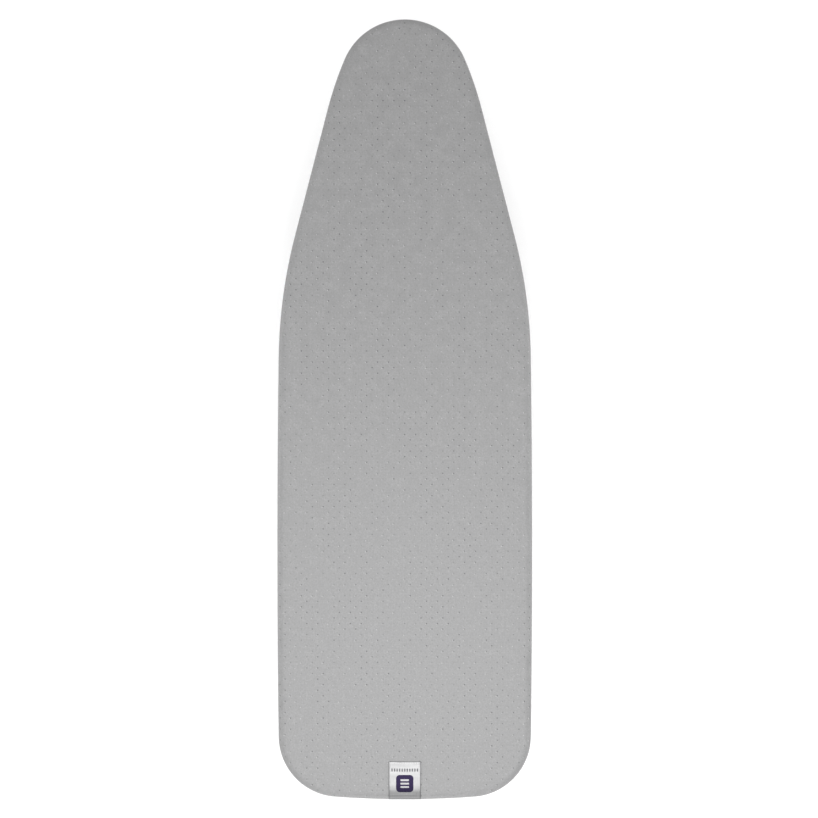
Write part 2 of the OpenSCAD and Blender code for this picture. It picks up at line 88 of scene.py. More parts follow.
# The cover's widest outline lies a little under its top
OUTLINE_Z = SURFACE_Z - 6 * MM


def make_camera():
    data = bpy.data.cameras.new("camera")
    data.lens = LENS_MM
    data.sensor_width = SENSOR_MM
    data.clip_end = FAR_CLIP
    camera = add_object("camera", data)
    camera.location = (*VIEW_CENTRE, OUTLINE_Z + VIEW_WIDTH * LENS_MM / SENSOR_MM)
    bpy.context.scene.camera = camera


make_camera()

# ---------- Outline of the board ----------

# The driving dimensions of the outline, as in the frame: arcs from the nose to the tail
NOSE_R, NOSE_TURN = 80 * MM, math.radians(67)
FLANK_R = 435 * MM
TAPER = math.radians(14.5)
SHOULDER_R = 630 * MM
SIDE_TURN = math.radians(1.5)
CORNER_R = 74.5 * MM
TAIL_TURN = math.radians(4.2)
LENGTH = high("cover").y - low("cover").y
WIDTH = high("cover").x - low("cover").x
STEP = 2.6 * MM
FINE_STEP = 1.5 * MM
FINE_UNDER_R = 100 * MM


def arcs_of_half():
    """[(radius, turn)] from the nose to the tail; the straight taper is (None, length)."""
    half_side = SIDE_TURN / 2
    rise = 1 - math.cos(half_side)
    corner_x = CORNER_R * (math.cos(half_side) - math.sin(TAIL_TURN))
    x = (
        NOSE_R * math.sin(NOSE_TURN)
        + FLANK_R * (math.cos(TAPER) - math.sin(NOSE_TURN))
        + SHOULDER_R * (math.cos(half_side) - math.cos(TAPER))
    )
    y = (
        NOSE_R * (1 - math.cos(NOSE_TURN))
        + FLANK_R * (math.cos(NOSE_TURN) - math.sin(TAPER))
        + SHOULDER_R * (math.sin(TAPER) - math.sin(half_side))
        + CORNER_R * (math.cos(TAIL_TURN) - math.sin(half_side))
        + (WIDTH / 2 - corner_x) * math.tan(TAIL_TURN / 2)
    )
    cot = 1 / math.tan(TAPER)
    side_r = (LENGTH - y - (WIDTH / 2 - x) * cot) / (
        2 * math.sin(half_side) - rise * cot - rise * math.tan(TAIL_TURN / 2)
    )
    taper_length = (WIDTH / 2 - x - side_r * rise) / math.sin(TAPER)
    tail_r = (WIDTH / 2 - side_r * rise - corner_x) / math.sin(TAIL_TURN)
    return [
        (NOSE_R, NOSE_TURN),
        (FLANK_R, math.pi / 2 - TAPER - NOSE_TURN),
        (None, taper_length),
        (SHOULDER_R, TAPER - half_side),
        (side_r, SIDE_TURN),
        (CORNER_R, math.pi / 2 - half_side - TAIL_TURN),
        (tail_r, TAIL_TURN),
    ]


class Outline:
    """The covered board's edge, walked clockwise from the nose in even steps."""

    def __init__(self):
        points, headings, bends = [(0.0, LENGTH / 2)], [0.0], [1 / NOSE_R]
        for radius, amount in arcs_of_half():
            run = amount if radius is None else radius * amount
            fine = radius is not None and radius < FINE_UNDER_R
            count = math.ceil(run / (FINE_STEP if fine else STEP))
            (x, y), h = points[-1], headings[-1]
            for part in (amount * k / count for k in range(1, count + 1)):
                if radius is None:
                    g, dx, dy = h, part * math.cos(h), -part * math.sin(h)
                else:
                    g = h + part
                    dx = radius * (math.sin(g) - math.sin(h))
                    dy = radius * (math.cos(g) - math.cos(h))
                points.append((x + dx, y + dy))
                headings.append(g)
                bends.append(1 / radius if radius else 0.0)
        points, headings, bends = (np.array(v) for v in (points, headings, bends))
        points[-1, 0] = 0.0
        normals = np.stack([np.sin(headings), np.cos(headings)], 1)
        flip = np.array([-1.0, 1.0])
        self.points = np.concatenate([points, points[-2:0:-1] * flip])
        self.normals = np.concatenate([normals, normals[-2:0:-1] * flip])
        self.bends = np.concatenate([bends, bends[-2:0:-1]])
        self.count = len(self.points)
        self.half = len(points)
        self.steps = np.linalg.norm(np.roll(self.points, -1, 0) - self.points, axis=1)
        self.along = np.concatenate([[0.0], np.cumsum(self.steps)])
        self.perimeter = self.along[-1]

    def ring(self, inset, z):
        """The edge moved in by inset, at height z. Each may be one number or one per point."""
        plan = self.points - self.normals * np.reshape(inset, (-1, 1))
        return np.column_stack([plan, np.broadcast_to(z, self.count)])

    def half_width(self, y, inset):
        """Half of the board's width at y, inside that inset."""
        right = self.points[: self.half] - self.normals[: self.half] * inset
        return np.interp(-np.asarray(y), -right[:, 1], right[:, 0], left=-1.0, right=-1.0)

    def at(self, ring, run):
        """The point of a ring that far round the edge."""
        run = run % self.perimeter
        return np.array([np.interp(run, self.along, np.append(c, c[0])) for c in ring.T])


EDGE = Outline()


# ---------- Gathers ----------

# The hem is drawn in, so the lip falls in folds: deep at the nose and corners, slight elsewhere
FOLD_LENGTH = 12 * MM
FOLD_DROP = 0.5 * MM
TIGHT_FOLD_DROP = 3.4 * MM
TIGHT_SPREAD = 24 * MM
FLAT_AT_LOCK = 14 * MM
# Two waves make the folds: share, length against FOLD_LENGTH, noise seed, wander
FOLD_WAVES = ((0.82, 1.0, 2.0, 7.0), (0.18, 0.53, 9.0, 5.0))


def tightness():
    """How tightly the edge bends, smoothed, from 0 on the straights to 1 at the nose and corners."""
    tight = np.clip(EDGE.bends * NOSE_R, 0, 1)
    here = EDGE.along[:-1]
    out = np.empty(EDGE.count)
    for i, s in enumerate(here):
        away = np.abs(here - s)
        away = np.minimum(away, EDGE.perimeter - away)
        weight = np.exp(-((away / TIGHT_SPREAD) ** 2)) * EDGE.steps
        out[i] = np.sum(weight * tight) / np.sum(weight)
    return out


def ripple(length, seed, wander):
    """A wave round the edge from -1 to 1, of about that wavelength, that never quite repeats."""
    turns = round(EDGE.perimeter / length)
    wave = np.empty(EDGE.count)
    for i in range(EDGE.count):
        a = 2 * math.pi * EDGE.along[i] / EDGE.perimeter
        spot = Vector((math.cos(a), math.sin(a), 0)) * 9 + Vector((0, 0, seed))
        swell = 0.8 + 0.4 * noise.noise(spot * 2.7 + Vector((7, 3, 1)))
        wave[i] = math.sin(turns * a + wander * noise.noise(spot)) * swell
    return np.clip(wave, -1, 1)


def fold_drop():
    """How far the hem's folds hang at each point of the edge, never less than 0."""
    lock = middle("cord_lock_body")
    wave = sum(
        share * ripple(length * FOLD_LENGTH, seed, wander)
        for share, length, seed, wander in FOLD_WAVES
    )
    deep = FOLD_DROP + (TIGHT_FOLD_DROP - FOLD_DROP) * tightness()
    from_lock = np.abs(EDGE.points[:, 0] - lock.x)
    from_lock[EDGE.points[:, 1] > lock.y] = LENGTH
    flat = np.clip(from_lock / FLAT_AT_LOCK - 0.4, 0, 1)
    return deep * flat * (0.5 + 0.5 * wave)


DROP = fold_drop()

# ---------- Pieces ----------


def point_out(mesh):
    """Turns the faces outward, so that the highest one looks up."""
    work = bmesh.new()
    work.from_mesh(mesh)
    bmesh.ops.recalc_face_normals(work, faces=work.faces)
    highest = max(work.faces, key=lambda f: f.calc_center_median().z)
    if highest.normal.z < 0:
        bmesh.ops.reverse_faces(work, faces=work.faces)
    work.to_mesh(mesh)
    work.free()


def solidify(piece, thickness, offset=-1.0):
    layer = piece.modifiers.new("thickness", "SOLIDIFY")
    layer.thickness = thickness
    layer.offset = offset


def full_turn(count):
    """That many even angles round a circle."""
    return np.linspace(0, 2 * math.pi, count, endpoint=False)


class Build:
    """Gathers the vertices, faces and corner UVs of one piece."""

    def __init__(self):
        self.vertices, self.faces, self.uvs = [], [], []

    def add(self, vertices, faces, uvs):
        start = len(self.vertices)
        self.vertices.extend(np.asarray(vertices, float).tolist())
        self.faces.extend([tuple(start + i for i in f) for f in faces])
        self.uvs.extend(uvs)

    def cap(self, start, count, backwards, uv=(0.0, 0.0)):
        """One flat face over a ring of points."""
        face = tuple(range(start, start + count))
        self.faces.append(face[::-1] if backwards else face)
        self.uvs += [uv] * count

    def grid(self, rows, u, v, wrap_along=False, wrap_across=False):
        """Quads between rows of points. u is along a row, v across the rows."""
        rows = np.asarray(rows)
        count, width = rows.shape[:2]
        faces, uvs = [], []
        for i in range(count if wrap_across else count - 1):
            for j in range(width if wrap_along else width - 1):
                i1, j1 = (i + 1) % count, (j + 1) % width
                faces.append((i * width + j, i1 * width + j, i1 * width + j1, i * width + j1))
                uvs += [(u[j], v[i]), (u[j], v[i + 1]), (u[j + 1], v[i + 1]), (u[j + 1], v[i])]
        self.add(rows.reshape(-1, 3), faces, uvs)

    def tube(self, path, radius, sides=10, closed=False):
        """A round tube along a path of points. radius may be one number or one per point."""
        path = np.asarray(path, float)
        count = len(path)
        if closed:
            tangents = np.roll(path, -1, 0) - np.roll(path, 1, 0)
        else:
            tangents = np.gradient(path, axis=0)
        tangents /= np.linalg.norm(tangents, axis=1)[:, None]
        side = np.cross(tangents[0], (0, 0, 1))
        if np.linalg.norm(side) < 0.1:
            side = np.cross(tangents[0], (1, 0, 0))
        rows = []
        turn = full_turn(sides)
        for p, t, r in zip(path, tangents, np.broadcast_to(radius, count)):
            side = side - t * np.dot(side, t)
            side /= np.linalg.norm(side)
            up = np.cross(side, t)
            rows.append(p + r * (np.outer(np.cos(turn), side) + np.outer(np.sin(turn), up)))
        steps = np.linalg.norm(np.diff(np.vstack([path, path[:1]]), axis=0), axis=1)
        v = np.concatenate([[0.0], np.cumsum(steps)])
        start = len(self.vertices)
        self.grid(rows, np.linspace(0, 1, sides + 1), v, wrap_along=True, wrap_across=closed)
        if not closed:
            for ring in (0, count - 1):
                self.cap(start + ring * sides, sides, ring == 0, (0.5, v[ring]))

    def piece(self, name, material, slot, body="board", replaces=(), outward=False):
        """The mesh as a piece on a body, or on none if it bends between two."""
        mesh = bpy.data.meshes.new(name)
        mesh.from_pydata(self.vertices, [], self.faces)
        layer = mesh.uv_layers.new(name="cut")
        layer.data.foreach_set("uv", np.asarray(self.uvs, np.float32).ravel())
        mesh.materials.append(material)
        mesh.shade_smooth()
        if outward:
            point_out(mesh)
        made = add_object(name, mesh)
        if body:
            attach(made, body)
        if replaces:
            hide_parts(*replaces)
        return made


def smooth_steps(values, per_step):
    """A Catmull-Rom curve through the points, per_step points for each gap."""
    p = np.asarray(values, float)
    p = np.vstack([2 * p[0] - p[1], p, 2 * p[-1] - p[-2]])
    out = []
    for i in range(1, len(p) - 2):
        a, b, c, d = p[i - 1 : i + 3]
        for k in range(per_step):
            t = k / per_step
            out.append(
                0.5 * (2 * b + (c - a) * t + (2 * a - 5 * b + 4 * c - d) * t**2
                       + (3 * b - a - 3 * c + d) * t**3)
            )
    out.append(p[-2])
    return np.array(out)


# ---------- Materials ----------


class Nodes:
    """A shader's node tree, with short ways to add nodes and links."""

    def __init__(self, tree):
        self.tree = tree

    def link(self, start, node, socket):
        self.tree.links.new(start, node.inputs[socket])

    def node(self, kind, *inputs, **settings):
        """A node with its inputs in order, each a socket to link, a value or None."""
        made = self.tree.nodes.new("ShaderNode" + kind)
        for key, value in settings.items():
            setattr(made, key, value)
        for index, value in enumerate(inputs):
            if isinstance(value, bpy.types.NodeSocket):
                self.link(value, made, index)
            elif value is not None:
                made.inputs[index].default_value = value
        return made


class Paint(Nodes):
    """A procedural material."""

    def __init__(self, name, colour, roughness, metallic=0.0, **sockets):
        self.material = bpy.data.materials.new(name)
        self.material.use_nodes = True
        self.material.diffuse_color = (*colour, 1)
        super().__init__(self.material.node_tree)
        self.shader = self.tree.nodes["Principled BSDF"]
        self.colour = colour
        sockets |= {"Base_Color": (*colour, 1), "Roughness": roughness, "Metallic": metallic}
        for socket, value in sockets.items():
            self.shader.inputs[socket.replace("_", " ")].default_value = value

    def math(self, operation, a, b=None, c=None):
        return self.node("Math", a, b, c, operation=operation).outputs[0]

    def plus(self, a, b):
        return self.math("ADD", a, b)

    def minus(self, a, b):
        return self.math("SUBTRACT", a, b)

    def times(self, a, b):
        return self.math("MULTIPLY", a, b)

    def away(self, a, b):
        """How far a is from b."""
        return self.math("ABSOLUTE", self.minus(a, b))

    def ridges(self, value):
        return self.math("ABSOLUTE", self.math("SINE", value))

    def half_wave(self, wave):
        """A wave from -1 to 1 brought to 0 to 1."""
        return self.math("MULTIPLY_ADD", wave, 0.5, 0.5)

    def hypotenuse(self, parts):
        return self.math("SQRT", self.plus(*[self.math("POWER", p, 2.0) for p in parts]))

    def sum(self, *terms):
        """The sum of value times weight over (value, weight) pairs."""
        total = self.times(*terms[0])
        for value, weight in terms[1:]:
            total = self.math("MULTIPLY_ADD", value, weight, total)
        return total

    def object_point(self, scale=(1, 1, 1)):
        place = self.node("TexCoord").outputs["Object"]
        return self.node("Mapping", place, None, None, scale).outputs[0]

    def cut_point(self, scale=(1, 1, 1)):
        """The place in the flat cloth."""
        place = self.node("UVMap", uv_map="cut").outputs[0]
        return self.node("Mapping", place, None, None, scale).outputs[0]

    def cut_axes(self):
        """The two directions in the flat cloth, in metres."""
        return self.node("SeparateXYZ", self.cut_point()).outputs[:2]

    def noise(self, point, size, detail=3.0, roughness=0.55):
        """Noise from 0 to 1 with features of about that size in metres."""
        return self.node("TexNoise", point, None, 1 / size, detail, roughness).outputs[0]

    def cells(self, point, size):
        return self.node("TexVoronoi", point, None, 1 / size).outputs["Distance"]

    def range(self, value, from_low, from_high, to_low=0.0, to_high=1.0, smooth=False):
        kind = "SMOOTHSTEP" if smooth else "LINEAR"
        made = self.node(
            "MapRange", value, from_low, from_high, to_low, to_high, interpolation_type=kind
        )
        return made.outputs[0]

    def mix(self, factor, a, b):
        made = self.node("Mix", data_type="RGBA")
        for socket, value in ((0, factor), (6, a), (7, b)):
            if isinstance(value, bpy.types.NodeSocket):
                self.link(value, made, socket)
            else:
                made.inputs[socket].default_value = (*value, 1)
        return made.outputs[2]

    def shade(self, factor, dark, light):
        """The material's colour, times dark where factor is 0 and light where it is 1."""
        return self.mix(
            factor, [c * dark for c in self.colour], [min(1, c * light) for c in self.colour]
        )

    def finish(self, colour, height, roughness=None):
        """Links what varies over the surface. height is in metres."""
        self.link(colour, self.shader, "Base Color")
        if roughness is not None:
            self.link(roughness, self.shader, "Roughness")
        bump = self.node("Bump", 1.0, 1.0)
        self.link(height, bump, "Height")
        self.link(bump.outputs[0], self.shader, "Normal")
        return self.material


# The cover's printed dots: pitch across, distance between rows and radius of a dot
DOT_PITCH = 13.3 * MM
DOT_ROW = 6.8 * MM
DOT_R = 0.85 * MM
# A light glint beside some dots: its radius and how far it lies from the dot
GLINT_R = 0.75 * DOT_R
GLINT_SHIFT = (1.3 * MM, 0.9 * MM)
THREAD = 0.42 * MM
PRINT_GREY, GLINT_GREY, CRACKLE_GREY = (0.075, 0.075, 0.08), (0.46,) * 3, (0.30,) * 3


def dots(paint, x, y, radius, shift=(0.0, 0.0)):
    """1 inside the dots of a grid with every other row moved by half a pitch, else 0."""
    column = paint.math("DIVIDE", paint.plus(x, shift[0]), DOT_PITCH)
    row = paint.math("DIVIDE", paint.plus(y, shift[1]), DOT_ROW)
    odd = paint.math("FLOORED_MODULO", paint.math("FLOOR", row), 2.0)
    column = paint.math("MULTIPLY_ADD", odd, 0.5, column)
    from_dot = [
        paint.times(paint.minus(paint.math("FRACT", cell), 0.5), pitch)
        for cell, pitch in ((column, DOT_PITCH), (row, DOT_ROW))
    ]
    distance = paint.hypotenuse(from_dot)
    return paint.range(distance, radius * 0.6, radius * 1.2, 1.0, 0.0, smooth=True)


def weave(paint, x, y, pitch):
    """Plain weave from 0 to 1: threads that pass over and under each other."""
    warp, weft = [paint.math("SINE", paint.times(axis, math.pi / pitch)) for axis in (x, y)]
    return paint.half_wave(paint.times(warp, weft))


def cover_material():
    """Metallised cotton: a dot print, worn in bands, on a mottled and finely crackled weave."""
    paint = Paint("metallised_cotton", (0.217, 0.217, 0.218), 0.55, 0.1, Sheen_Weight=0.1)
    point = paint.cut_point()
    x, y = paint.cut_axes()
    bands = paint.noise(paint.cut_point((1, 0.2, 1)), 20 * MM, 2)
    worn = paint.sum((paint.noise(point, 5 * MM, 1), 0.38), (bands, 0.62))
    dot = paint.times(dots(paint, x, y, DOT_R), paint.range(worn, 0.44, 0.57, 0.06, 1.0))
    glint = paint.range(paint.noise(point, 4 * MM, 1), 0.42, 0.62, 0.0, 0.60)
    glint = paint.times(dots(paint, x, y, GLINT_R, GLINT_SHIFT), glint)
    mottle = paint.noise(point, 16 * MM, 4)
    slubs = paint.noise(paint.cut_point((1, 0.08, 1)), 1.1 * MM, 2)
    grain = paint.noise(point, 2.2 * MM, 3, 0.7)
    tone = paint.sum((slubs, 0.18), (mottle, 0.22), (grain, 0.60))
    colour = paint.shade(paint.range(tone, 0.36, 0.64), 0.88, 1.12)
    wrinkle = paint.away(paint.noise(point, 5 * MM, 2), 0.5)
    crackle = paint.range(wrinkle, 0.0, 0.035, 0.45, 0.0)
    crackle = paint.times(crackle, paint.range(mottle, 0.42, 0.58))
    for share, grey in ((crackle, CRACKLE_GREY), (glint, GLINT_GREY), (dot, PRINT_GREY)):
        colour = paint.mix(share, colour, grey)
    threads = weave(paint, x, y, THREAD)
    heights = (threads, 0.03 * MM), (dot, -0.05 * MM), (mottle, 0.12 * MM), (grain, 0.03 * MM)
    return paint.finish(colour, paint.sum(*heights), paint.range(mottle, 0.3, 0.7, 0.46, 0.58))


# The label: its end on the top, how far it puffs up, and the middle of the painted shade where it
# bends over the edge
LABEL_WIDTH = high("cover_label").x - low("cover_label").x
LABEL_TOP = 47 * MM
LABEL_PUFF = 0.7 * MM
LABEL_BEND_SHADE_AT = 3 * MM
# Its print, in metres from the tail's edge up: a plain indigo square with three light bars, and
# a row of woven blocks
MARK_AT = 20 * MM
MARK_HALF = (10.6 * MM, 10.6 * MM)
MARK_CORNER = 4.5 * MM
BARS_HALF = (5.2 * MM, 5.6 * MM)
BAR_HALF = (5.2 * MM, 1.1 * MM)
BAR_PITCH = 4.2 * MM
BLOCK_AT = 36.5 * MM
BLOCK_HALF = (0.85 * MM, 1.9 * MM)
BLOCK_PITCH = 3.1 * MM
BLOCK_ROW_HALF = 17.2 * MM
PRINT_CORNER = 0.4 * MM
PRINT_BLUR = 0.12 * MM
INDIGO = ((0.010, 0.006, 0.026), (0.019, 0.012, 0.044))
BLOCK_GREY, RIM_GREY, SHADOW = (0.05, 0.05, 0.055), (0.09, 0.09, 0.095), (0.0, 0.0, 0.0)


def rounded_box(paint, u, v, centre, half, corner):
    """1 inside a rounded rectangle in the label's own plane, else 0."""
    outside = [
        paint.math("MAXIMUM", paint.minus(paint.away(axis, at), size - corner), 0.0)
        for axis, at, size in ((u, centre[0], half[0]), (v, centre[1], half[1]))
    ]
    distance = paint.hypotenuse(outside)
    return paint.range(distance, corner - PRINT_BLUR, corner + PRINT_BLUR, 1.0, 0.0)


def repeated(paint, axis, pitch):
    """The axis folded into cells of that pitch, each from minus half to plus half a pitch."""
    moved = paint.plus(axis, pitch / 2)
    return paint.minus(paint.math("FLOORED_MODULO", moved, pitch), pitch / 2)


def label_material():
    """White satin with a print and a dark outline, and painted shade where it bends over the edge.
    """
    paint = Paint("satin_label", (0.335, 0.335, 0.338), 0.36, 0.3, Specular_IOR_Level=0.1)
    u, v = paint.cut_axes()
    mark = rounded_box(paint, u, v, (0, MARK_AT), MARK_HALF, MARK_CORNER)
    bars_area = rounded_box(paint, u, v, (0, MARK_AT), BARS_HALF, PRINT_CORNER)
    row = repeated(paint, paint.minus(v, MARK_AT), BAR_PITCH)
    bars = rounded_box(paint, u, row, (0, 0), BAR_HALF, 0.5 * MM)
    mark = paint.minus(mark, paint.times(bars, bars_area))
    cell = repeated(paint, u, BLOCK_PITCH)
    blocks = rounded_box(paint, cell, v, (0, BLOCK_AT), BLOCK_HALF, PRINT_CORNER)
    from_middle = paint.math("ABSOLUTE", u)
    blocks = paint.times(blocks, paint.math("LESS_THAN", from_middle, BLOCK_ROW_HALF))
    satin = paint.noise(paint.cut_point((1, 0.05, 1)), 0.5 * MM, 2)
    lustre = paint.noise(paint.cut_point((0.15, 1, 1)), 5 * MM, 2)
    tone = paint.sum((lustre, 0.5), (satin, 0.5))
    side = paint.minus(LABEL_WIDTH / 2, from_middle)
    from_rim = paint.math("MINIMUM", side, paint.minus(LABEL_TOP, v))
    rim = paint.range(from_rim, 0.45 * MM, 0.75 * MM, 1.0, 0.0)
    # Painted shade: the satin is darkened towards black round its bend over the tail edge
    bend_shade = paint.range(paint.away(v, LABEL_BEND_SHADE_AT), 2 * MM, 17 * MM, 0.48, 0.0, smooth=True)
    colour = paint.shade(paint.range(tone, 0.35, 0.65), 0.84, 1.08)
    for share, print_colour in (
        (paint.times(blocks, 0.85), BLOCK_GREY),
        (mark, paint.mix(satin, *INDIGO)),
        (paint.times(rim, 0.55), RIM_GREY),
        (bend_shade, SHADOW),
    ):
        colour = paint.mix(share, colour, print_colour)
    height = paint.times(weave(paint, u, v, 0.3 * MM), 0.012 * MM)
    selvedge = paint.range(side, 1.5 * MM, 2.1 * MM, 0.06 * MM, 0.0)
    return paint.finish(colour, paint.plus(height, selvedge))


def tape_material():
    """Twill: diagonal ribs along the tape."""
    paint = Paint("twill_tape", (0.30, 0.30, 0.31), 0.85, Sheen_Weight=0.3)
    diagonal = paint.times(paint.plus(*paint.cut_axes()), 2 * math.pi / (0.9 * MM))
    rib = paint.half_wave(paint.math("SINE", diagonal))
    fuzz = paint.noise(paint.object_point(), 1.2 * MM)
    tone = paint.sum((fuzz, 0.4), (rib, 0.6))
    return paint.finish(
        paint.shade(tone, 0.75, 1.2), paint.sum((fuzz, 0.04 * MM), (rib, 0.05 * MM))
    )


def braid_material():
    """A round braid: strands that cross each other in two spirals."""
    paint = Paint("braided_cord", (0.74, 0.74, 0.72), 0.75, Sheen_Weight=0.2)
    around, along = paint.cut_axes()
    run = paint.times(along, 2 * math.pi / (2.2 * MM))
    spirals = [
        paint.ridges(paint.math("MULTIPLY_ADD", around, turn, run))
        for turn in (8 * math.pi, -8 * math.pi)
    ]
    strands = paint.math("MAXIMUM", *spirals)
    fuzz = paint.noise(paint.object_point(), 0.6 * MM)
    tone = paint.sum((fuzz, 0.3), (strands, 0.7))
    return paint.finish(paint.shade(tone, 0.6, 1.1), paint.times(strands, 0.16 * MM))


def elastic_material():
    """Woven elastic: cords along the strap, crossed by finer picks."""
    paint = Paint("woven_elastic", (0.10, 0.105, 0.115), 0.8, Sheen_Weight=0.25)
    u, v = paint.cut_axes()
    cords = paint.ridges(paint.times(v, math.pi / (1.1 * MM)))
    picks = paint.ridges(paint.times(u, math.pi / (0.7 * MM)))
    tone = paint.sum((picks, 0.4), (cords, 0.6))
    return paint.finish(
        paint.shade(tone, 0.55, 1.5), paint.sum((picks, 0.04 * MM), (cords, 0.12 * MM))
    )


def felt_material():
    """Needled felt: crossed fibres in soft clumps."""
    paint = Paint("needled_felt", (0.60, 0.60, 0.58), 0.95, Sheen_Weight=0.4)
    fibres = paint.noise(paint.object_point((1, 0.25, 1)), 0.7 * MM, 4, 0.7)
    crossed = paint.noise(paint.object_point((0.25, 1, 1)), 0.9 * MM, 4, 0.7)
    clumps = paint.noise(paint.object_point(), 9 * MM)
    tone = paint.sum((crossed, 0.35), (fibres, 0.4), (clumps, 0.25))
    colour = paint.shade(paint.range(tone, 0.35, 0.65), 0.78, 1.12)
    return paint.finish(colour, paint.times(tone, 0.5 * MM))


def foam_material():
    """Foam: open pores in soft clumps."""
    paint = Paint("open_cell_foam", (0.80, 0.75, 0.55), 0.9)
    pores = paint.cells(paint.object_point(), 1.1 * MM)
    clumps = paint.noise(paint.object_point(), 12 * MM, 2)
    colour = paint.shade(paint.math("MULTIPLY_ADD", pores, 0.7, clumps), 0.75, 1.1)
    return paint.finish(colour, paint.times(pores, -0.35 * MM))


def powder_coat(name, colour, roughness):
    """Powder coat over steel: orange peel, a little dust and fine scuffs."""
    paint = Paint(name, colour, roughness, Coat_Weight=0.15, Coat_Roughness=0.25)
    peel = paint.noise(paint.object_point(), 1.6 * MM, 2)
    cloud = paint.noise(paint.object_point(), 35 * MM, 4)
    scuffs = paint.noise(paint.object_point((1, 0.06, 1)), 2.5 * MM, 5, 0.7)
    tone = paint.sum((scuffs, 0.3), (cloud, 0.7))
    return paint.finish(
        paint.shade(paint.range(tone, 0.35, 0.65), 0.93, 1.04),
        paint.times(peel, 0.035 * MM),
        paint.range(scuffs, 0.35, 0.7, roughness - 0.06, roughness + 0.12),
    )


def plated(name, colour, roughness, brushed=(1, 1, 1)):
    """Zinc-plated steel: spangle, stain and drawing marks."""
    paint = Paint(name, colour, roughness, 1.0)
    spangle = paint.cells(paint.object_point(), 2.6 * MM)
    stain = paint.noise(paint.object_point(), 8 * MM, 4)
    marks = paint.noise(paint.object_point(brushed), 0.5 * MM)
    tone = paint.sum((spangle, 0.3), (stain, 0.7))
    return paint.finish(
        paint.shade(paint.range(tone, 0.3, 0.75), 0.78, 1.12),
        paint.times(marks, 0.012 * MM),
        paint.range(stain, 0.3, 0.7, roughness - 0.1, roughness + 0.12),
    )


def moulded(name, colour, roughness, grain=0.35 * MM, depth=0.02 * MM):
    """Moulded plastic or rubber with a spark-eroded grain; also fine thread."""
    paint = Paint(name, colour, roughness)
    texture = paint.noise(paint.object_point(), grain)
    cloud = paint.noise(paint.object_point(), 14 * MM)
    return paint.finish(
        paint.shade(cloud, 0.8, 1.3),
        paint.times(texture, depth),
        paint.range(cloud, 0.3, 0.7, roughness - 0.07, roughness + 0.1),
    )


COVER = cover_material()
LABEL = label_material()
TAPE = tape_material()
BRAID = braid_material()
ELASTIC = elastic_material()
FELT = felt_material()
FOAM = foam_material()
DECK_COAT = powder_coat("deck_powder_coat", (0.44, 0.45, 0.46), 0.42)
LEG_COAT = powder_coat("leg_powder_coat", (0.36, 0.37, 0.385), 0.34)
ZINC = plated("zinc_plate", (0.47, 0.48, 0.50), 0.36)
RIVET = plated("rivet_steel", (0.54, 0.54, 0.55), 0.28)
WIRE = plated("bright_wire", (0.58, 0.59, 0.61), 0.22, (1, 0.05, 1))
PLASTIC = moulded("black_plastic", (0.035, 0.036, 0.04), 0.42)
RUBBER = moulded("foot_rubber", (0.028, 0.028, 0.03), 0.72, 0.6 * MM, 0.04 * MM)
THREAD_WHITE = moulded("sewing_thread", (0.62, 0.62, 0.61), 0.7, 0.25 * MM, 0.03 * MM)

# ---------- Cover ----------

CLOTH_T = 0.5 * MM
ROLL_IN = 9 * MM
ROLL_DOWN = 6.5 * MM
LIP_Z = low("cover").z
LIP_END = 31.5 * MM
SKIRT_PULL = 0.5 * MM
TOP_GRID = 6 * MM
SAG_FADE = 4 * MM
FOLD_R = 2.2 * MM
CROWN, CROWN_REACH = 0.35 * MM, 50 * MM
# Soft waves of the top: height, bends per metre across and along, place in the noise
WAVES = ((0.22 * MM, 28, 16, 0.3), (0.10 * MM, 75, 48, 4.1))
# The crease in its right half
CREASE_X, CREASE_Y = 79 * MM, -91.5 * MM
CREASE_LONG, CREASE_WIDE, CREASE_DEEP, CREASE_WANDER = 26 * MM, 1.6 * MM, 0.16 * MM, 2 * MM

# The cloth simulation that settles the lip. The cloth is 6 percent larger than its place.
CLOTH_FRAMES = 18
CLOTH_GRAVITY = 0.4
CLOTH_SETTINGS = {
    "vertex_group_mass": "pins",
    "quality": 5,
    "mass": 0.01,
    "tension_stiffness": 20,
    "compression_stiffness": 20,
    "shear_stiffness": 20 / 3,
    "bending_stiffness": 0.02,
    "shrink_min": -0.06,
}
LIP_SETTLES_FROM = 19
LIP_MAX_MOVE = 3 * MM


def top_sag(x, y):
    """How far the top lies below its highest level: a slight crown, soft waves and a crease."""
    edge = max(0.0, EDGE.half_width(y, ROLL_IN) - abs(x))
    sag = CROWN * max(0.0, 1 - edge / CROWN_REACH) ** 2
    for height, across, along, seed in WAVES:
        sag += height * (0.5 + noise.noise(Vector((x * across, y * along, seed))) / 2)
    along = (x - CREASE_X) / CREASE_LONG
    across = (y - CREASE_Y + CREASE_WANDER * math.sin(x * 90)) / CREASE_WIDE
    return sag + CREASE_DEEP * math.exp(-(along**4) - across**2)


def cover_profile():
    """(inset, height, share of the folds) from the top's edge round to the hem."""
    rows = []
    for t in np.linspace(0, math.pi / 2, 12):
        rows.append((*under_roll(t, 0), 0.0))
    wall_low = LIP_Z + FOLD_R
    wall_high = SURFACE_Z - ROLL_DOWN
    for t in np.linspace(0.2, 1, 5):
        pull = SKIRT_PULL * math.sin(t * math.pi / 2) ** 2
        rows.append((pull, wall_high + (wall_low - wall_high) * t, 0.0))
    for t in np.radians([25, 50, 75, 90]):
        inset = SKIRT_PULL + FOLD_R * (1 - math.cos(t))
        rows.append((inset, wall_low - FOLD_R * math.sin(t), 0.12 * t))
    start = SKIRT_PULL + FOLD_R
    for t in np.linspace(0.08, 1, 12):
        rows.append((start + (LIP_END - start) * t, LIP_Z, 0.19 + 0.81 * t))
    return rows


